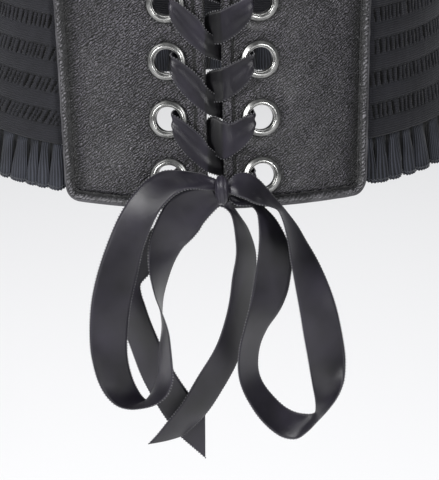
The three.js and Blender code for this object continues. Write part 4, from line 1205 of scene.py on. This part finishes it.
# Knot: place of its middle from the panels' bottom edge, and half sizes, across, forward and up.
# Then how far the panels lean back at its level, and where the last of the lace runs into it
KNOT_UP = 11.6
KNOT_FORWARD = 8.2
KNOT_ASIDE = 2.7
KNOT_HALF = (3.3, 4.6, 7.3)
KNOT_LEAN = float(flare_at(np.array(BOTTOM)) - flare_at(np.array(BOTTOM + KNOT_UP)))
KNOT_SEAT = 1 + (KNOT_FORWARD - KNOT_HALF[1] + KNOT_LEAN - 0.65) / LACE_ARCH
KNOT_SHARE = (KNOT_UP - 14.8) / EYELET_PITCH
STEEP_END = [(0.312, -0.078, 2.00, 0.98, 0.10), (0.580, -0.078, 1.88, 0.86, 0.05),
             (0.85, -0.09, KNOT_SEAT * 0.8, 0.74, 0), (1.05, KNOT_SHARE, KNOT_SEAT, 0.65, 0)]
SHALLOW_END = [(0.312, -0.078, 2.00, 1.00, 0.10), (0.536, -0.078, 1.88, 0.86, 0.05),
               (0.71, -0.09, KNOT_SEAT * 0.87, 0.74, 0), (0.84, KNOT_SHARE, KNOT_SEAT, 0.65, 0)]


# Lace rows that lie wider in the gap on the right: extra rise at the last three stations, and
# their width
WIDER_IN_GAP = {4: (0.06, 0.14, 0.15, 2.2)}


def lace_out(level):
    if level < 0:
        return level * LACE_DIP
    if level <= 1:
        return level * PANEL_THICKNESS
    return PANEL_THICKNESS + (level - 1) * LACE_ARCH


def lace_pair(side, row, step):
    to_gap, rise, level, width, lean = step
    s = side * EYELET_SIDE * (1 - to_gap)
    z = EYELET_LEVELS[row] + EYELET_PITCH * rise
    middle = on_body(s, z, PANEL_BACK + lace_out(level)).reshape(3)
    along, up, _ = (v.reshape(3) for v in axes_at(np.array(s), np.array(z)))
    half = unit(up - side * lean * along) * (LACE_IN_HOLE * width / 2)
    return middle + half, middle - half


def lace_half(first_side):
    pairs = []
    last = EYELET_ROWS - 1
    for row in range(EYELET_ROWS):
        side = first_side if row % 2 == 0 else -first_side
        route = STEEP_RUN if side < 0 else SHALLOW_RUN
        came = STEEP_RUN if side > 0 else SHALLOW_RUN
        stations = list(route[1 if row == 0 else 0:5 if row == last else None])
        if row == 0:
            stations[0] = (stations[0][0], 0.0) + stations[0][2:]
        else:
            stations[0] = (stations[0][0], came[0][1]) + stations[0][2:]
            stations[1] = (stations[1][0], came[1][1]) + stations[1][2:]
        if row in WIDER_IN_GAP and side > 0:
            *raised, wider = WIDER_IN_GAP[row]
            stations[-3:] = [(to_gap, rise + more, level, wider, lean)
                             for (to_gap, rise, level, _, lean), more in zip(stations[-3:], raised)]
        if row == last:
            stations += STEEP_END if side < 0 else SHALLOW_END
        pairs += [lace_pair(side, row, step) for step in stations]
    return pairs


def depth_in_gap(points):
    """How deep a point of the lace lies between the panels, from 0 to 1, kept as painted shade on the
    ribbon.
    """
    out = -points[:, 1] - WAIST_HALF_DEPTH - flare_at(points[:, 2])
    near = 1 - smooth(HALF_GAP - 0.3, HALF_GAP + 0.6, np.abs(points[:, 0]))
    return near * (1 - smooth(2.5, 6.0, out))


def lacing():
    pairs = lace_half(-1)[::-1]
    pairs.append(lace_pair(-1, 0, (1, 0, -0.64, 1.02, 0)))
    pairs += lace_half(1)
    a, b = (through([pair[k] for pair in pairs], (len(pairs) - 1) * 6) for k in (0, 1))
    ribbon("lacing_ribbon", a, b, cup=0.25, ripple=0.55, seed=41, painted_shade_at=depth_in_gap)


# Edges of the bow's ribbons: outer edge across, up and forward, then inner edge, measured from
# the middle of the bottom edge of the panels' front face
LEFT_LOOP = """
1.8 17 6.5 1.7 12.4 8.3; -0.7 18 6.5 -0.8 12.8 8.5; -6.2 20 6 -4.9 14.4 12;
-12.4 21.2 5.5 -9.6 15.7 14.5; -19.2 22.1 5 -14.9 15.9 16; -26 21.7 4.5 -19.8 13.9 16.5;
-32.1 18.3 4.5 -24.2 9.7 16.5; -37.1 13.7 5 -27.7 4.8 16; -41.8 8.2 6 -30.8 -1.7 15;
-46.9 0.5 7 -33.7 -8.4 14; -51.3 -8.4 8 -36.1 -14.9 13; -58.2 -26.5 10.5 -39.4 -28.9 11.5;
-62.5 -44.7 12 -43.7 -47.1 11; -63.5 -64.8 13.5 -45.6 -68.3 10.5; -62.5 -74 14.5 -45.1 -77.5 9.5;
-60.3 -83.2 15.5 -43.3 -86.1 8.5; -56.5 -90.7 17 -41 -92.5 7; -51.3 -96 17.5 -39 -97.2 4.5;
-45.4 -97.9 17.8 -37.3 -99.8 2.2; -38.9 -97.5 17.8 -35.9 -98.8 0.2; -33 -96.2 16.8 -34.5 -96.6 -0.8;
-27.4 -92.6 15.5 -32.9 -92.3 -1.5; -24.1 -86.6 14.5 -31.1 -85.9 -2.5; -22.9 -78.8 14 -29.8 -78.3 -3;
-24.6 -61 13.7 -28.7 -65.5 -4.7; -27.8 -49.7 13.2 -28.5 -55.8 -5.2; -31.2 -39 13 -27 -45.3 -5;
-33.5 -25.5 11.8 -22.7 -31.6 -3.8; -32.7 -12.4 9.5 -16.8 -19.4 0.5; -30.5 -5.5 8 -14 -15.4 3;
-27 1.8 7 -11.3 -11.9 5; -22.5 7.6 6 -8.7 -8.5 6; -17.5 10.8 6 -7 -5.7 6; -12.2 12.5 6 -4.4 -2.3 6;
-6.8 12.9 6 -1.2 1.2 6; -1.5 11.9 6.5 1.9 4.5 6.5"""
RIGHT_LOOP = """
3.6 15.6 8 3.7 11.6 9.6; 5.8 16.8 8 5.9 11.7 10; 10 19.7 5.5 10.5 11.2 13.5;
15.1 19.8 4.5 14.8 9.7 14.5; 20.2 16.5 3.5 19.1 7.9 15.5; 24.5 11.3 2 22.9 7.6 17; 28.1 6 1 26 6.9 18;
31.5 1.1 0.5 28.8 5.4 18.5; 35.6 -4.6 0.8 30.7 1.5 18.2; 39.9 -10.3 1 32.8 -4.5 18;
44.2 -17.2 2.2 34.7 -12.1 17.8; 48.5 -25.2 3.5 35.6 -21.1 16.5; 56.4 -44.8 6.5 38.9 -43.2 13.5;
61.5 -68.6 9.5 42.7 -68.9 10.5; 62.2 -78.5 11.5 44.5 -80.5 8.5; 61.3 -87.1 14 46.3 -91.3 6;
58.3 -94 15.5 47.5 -100.1 3.5; 53.5 -100.4 16.5 47.8 -105.9 1.5; 47.7 -107.1 16.5 47.4 -109.4 0.5;
42.8 -112.9 15.5 45.7 -110.1 0.5; 37.3 -117.5 13.5 41.9 -109.9 0.5; 30.9 -117.1 12.2 37.4 -109.1 -0.2;
24.4 -113 11.2 32.4 -106.8 -1.2; 18.3 -106.4 10.5 27.7 -103.1 -2.5; 13.2 -96.8 10.5 23.3 -97.4 -3.5;
10.4 -87.5 10.5 20.4 -90.9 -4.5; 9.3 -78.3 10.5 19.2 -83 -4.5; 9.9 -68.7 10.5 20.1 -74.1 -4.5;
12.1 -59.9 10 23.9 -64.8 -4; 14.2 -51.8 9 29 -56.7 -3; 16 -44.5 7.5 32.7 -49 -1.5;
17.6 -37.2 6 35.2 -40.5 0; 20 -20.9 5 36.2 -23.5 1; 20.4 -4.4 7.5 29.9 -7.4 0.5; 19.4 0.9 8 25.6 -1.4 1;
16.7 3.8 8 20.7 3.2 2; 12.9 4.2 8 14.9 6 3; 9 4.8 7.5 10.6 8.1 4.5; 6.4 7 7 6.9 9.7 6"""
LEFT_TAIL = """
0.6 10.1 4.5 0.8 6.8 4.5; -6.4 10.7 3.6 -3.7 1.9 3.6; -13.2 8.5 2.5 -7.7 -4.6 2.5;
-21.2 1.8 2 -13.3 -13.2 -1; -29.3 -7.9 -1.5 -20.9 -23 -4.5; -37.5 -17.3 -5 -28.6 -31.2 -7;
-45.3 -27.5 -8 -35.2 -37.2 -8; -51.3 -39.6 -11 -38.6 -41.7 -8; -52.8 -51.6 -13 -38.5 -46.4 -7;
-50.4 -62.9 -14 -36.6 -52.7 -6; -46.2 -73.3 -14 -33.7 -62.2 -6; -42.8 -83.7 -14 -29.2 -74.1 -6;
-35.7 -101.8 -11 -19.5 -94.6 -5; -25.9 -117.9 -8.5 -10.2 -108.3 -5.5; -20.5 -124.5 -7 -8.2 -111.5 -7;
-14.5 -130.5 -7 -8.1 -111.9 -7; -8.3 -136.6 -7 -7.9 -112.3 -7"""
RIGHT_TAIL = """
1.4 3.9 6.1 6.5 6.2 6.1; 3.6 2.7 5.5 8.3 2.1 2.5; 6.7 -0.3 6 11.7 -4.8 -2; 8.4 -6 6 15.3 -12.3 -6;
9 -14.4 5 17.7 -21.3 -9; 8.8 -22.4 4.5 18.6 -29.8 -10.5; 8 -30.6 3.5 18.5 -38.7 -11.5;
5.7 -47.2 1.5 16 -55.2 -11.5; 0.2 -66.9 2 11.6 -76.2 -10; -9.5 -85.7 3 3.2 -95.7 -7;
-21.1 -103.3 5 -8.2 -111.7 -5; -26.6 -110.6 5 -13.7 -117.9 -5; -31.8 -117.4 5 -17.3 -121.2 -5;
-36.5 -122.9 4.5 -19.9 -123.1 -4.5"""
BOW_MIDDLE = on_body(0, BOTTOM, PANEL_BACK + PANEL_THICKNESS).reshape(3)


def bow_place(rows):
    """Points of the bow from rows of across, up and forward."""
    rows = np.asarray(rows, float)
    return BOW_MIDDLE + np.stack([rows[..., 0], -rows[..., 2], rows[..., 1]], -1)


def bow_ribbon(name, table, steps, cup, seed):
    rows = np.array([[float(v) for v in row.split()] for row in table.split(";")])
    a = through(bow_place(rows[:, 0:3]), steps)
    b = through(bow_place(rows[:, 3:6]), steps)
    strip, picots, middle = ribbon(name, a, b, cup, ripple=0.35, seed=seed, sway=0.55)
    path = middle[::4]
    if not np.allclose(path[-1], middle[-1]):
        path = np.concatenate([path, middle[-1:]])
    route = [tuple(p) for p in (path * MM).tolist()]


def bow():
    bow_ribbon("bow_loop_left", LEFT_LOOP, steps=35 * 5, cup=0.9, seed=51)
    bow_ribbon("bow_loop_right", RIGHT_LOOP, steps=38 * 5, cup=0.9, seed=52)
    bow_ribbon("bow_tail_left", LEFT_TAIL, steps=16 * 8, cup=0.7, seed=53)
    bow_ribbon("bow_tail_right", RIGHT_TAIL, steps=13 * 8, cup=0.7, seed=54)


def knot():
    """An upright turn of ribbon, creased along its length and plump in front."""
    rings, sides = 29, 64
    t = np.linspace(-1, 1, rings)[:, None]
    turn = (2 * math.pi * np.arange(sides) / sides)[None, :]
    barrel = (1 - np.abs(t) ** 3.2) ** (1 / 2.4)
    crease = 0.045 * np.sin(9.5 * t + 1.1 * np.sin(turn) + 0.4 * np.sin(3 * turn))
    crease = crease * (1 - np.abs(t) ** 6) + 0.02 * np.sin(5 * turn + 3 * t)
    pinch = 1 - 0.07 * smooth(0.3, 1.0, -np.sin(turn)) - 0.04 * smooth(0.4, 1.0, np.sin(turn))
    ball = barrel * (1 + crease)
    across = KNOT_ASIDE + KNOT_HALF[0] * 1.04 * t * pinch * np.ones_like(turn)
    forward = KNOT_FORWARD + KNOT_HALF[1] * ball * np.cos(turn)
    up = KNOT_UP + 0.9 + KNOT_HALF[2] * ball * np.sin(turn)
    inner = bow_place(np.stack(np.broadcast_arrays(across, up, forward), -1))[1:-1]
    poles = bow_place([[KNOT_ASIDE + KNOT_HALF[0] * 1.04 * k, KNOT_UP, KNOT_FORWARD] for k in (-1, 1)])
    index = numbered(rings - 2, sides)
    after = np.roll(index, -1, axis=1)
    faces = tube_faces(index)
    first = index.size
    faces += [(int(b), int(a), first) for a, b in zip(index[0], after[0])]
    faces += [(int(a), int(b), first + 1) for a, b in zip(index[-1], after[-1])]
    points = np.concatenate([inner.reshape(-1, 3), poles])
    flat = np.stack(np.broadcast_arrays(turn * 6, (t[1:-1] + 1) * RIBBON_WIDTH / 2), -1)
    flat = np.concatenate([flat.reshape(-1, 2), [[0, 0], [0, RIBBON_WIDTH]]])
    settle(make_mesh("bow_knot_turn", points, faces, flat, SATIN), "satin_ribbon", "bow_knot")


# Floor and light

def backdrop():
    """A wide pale floor, well below the belt."""
    radius, level, sides = 9, -0.62, 64
    turns = [2 * math.pi * i / sides for i in range(sides)]
    points = [(radius * math.cos(turn), radius * math.sin(turn), level) for turn in turns]
    mesh = bpy.data.meshes.new("backdrop")
    mesh.from_pydata(points, [], [tuple(range(sides))])
    paper = new_material("pale paper", Roughness=0.9, Base_Color=(0.93, 0.93, 0.94, 1))[0]
    mesh.materials.append(paper)
    linked("backdrop", mesh)


def soft_light(name, place, aim, size, power):
    light = bpy.data.lights.new(name, "AREA")
    light.shape = "RECTANGLE"
    light.size, light.size_y = size
    light.energy = power
    holder = linked(name, light)
    holder.location = place
    holder.rotation_euler = (Vector(aim) - Vector(place)).to_track_quat("-Z", "Y").to_euler()


def lights():
    front = (0, -0.08, -0.1)
    soft_light("key light", (-1.2, -1.15, 0.7), aim=front, size=(0.3, 0.9), power=28)
    soft_light("fill light", (0.85, -1.55, 0.6), aim=front, size=(0.22, 0.8), power=16)
    soft_light("top light", (0, 1.0, 2.0), aim=(0, 0.6, -0.6), size=(2.0, 1.6), power=49)
    world = bpy.data.worlds.new("studio")
    world.use_nodes = True
    sky = world.node_tree.nodes["Background"]
    sky.inputs["Color"].default_value = (0.9, 0.92, 0.95, 1)
    sky.inputs["Strength"].default_value = 0.15
    scene.world = world
    scene.view_settings.view_transform = "Standard"


bow()
lacing()
knot()
for side_word, side_sign in (("left", -1), ("right", 1)):
    leather_panel(side_word, side_sign)
    edge_binding(side_word, side_sign)
    panel_stitches(side_word, side_sign)
    for eyelet_row in range(EYELET_ROWS):
        eyelet(side_word, side_sign, eyelet_row)
elastic_wrap()
frill("bottom_frill", LOWER_SEAM, LOWER_SEAM - FRILL_HEIGHT, 5.0)
frill("top_frill", UPPER_SEAM, UPPER_SEAM + FRILL_HEIGHT, 8.0)
for thread_object in THREADS.values():
    bpy.data.objects.remove(thread_object)
backdrop()
lights()
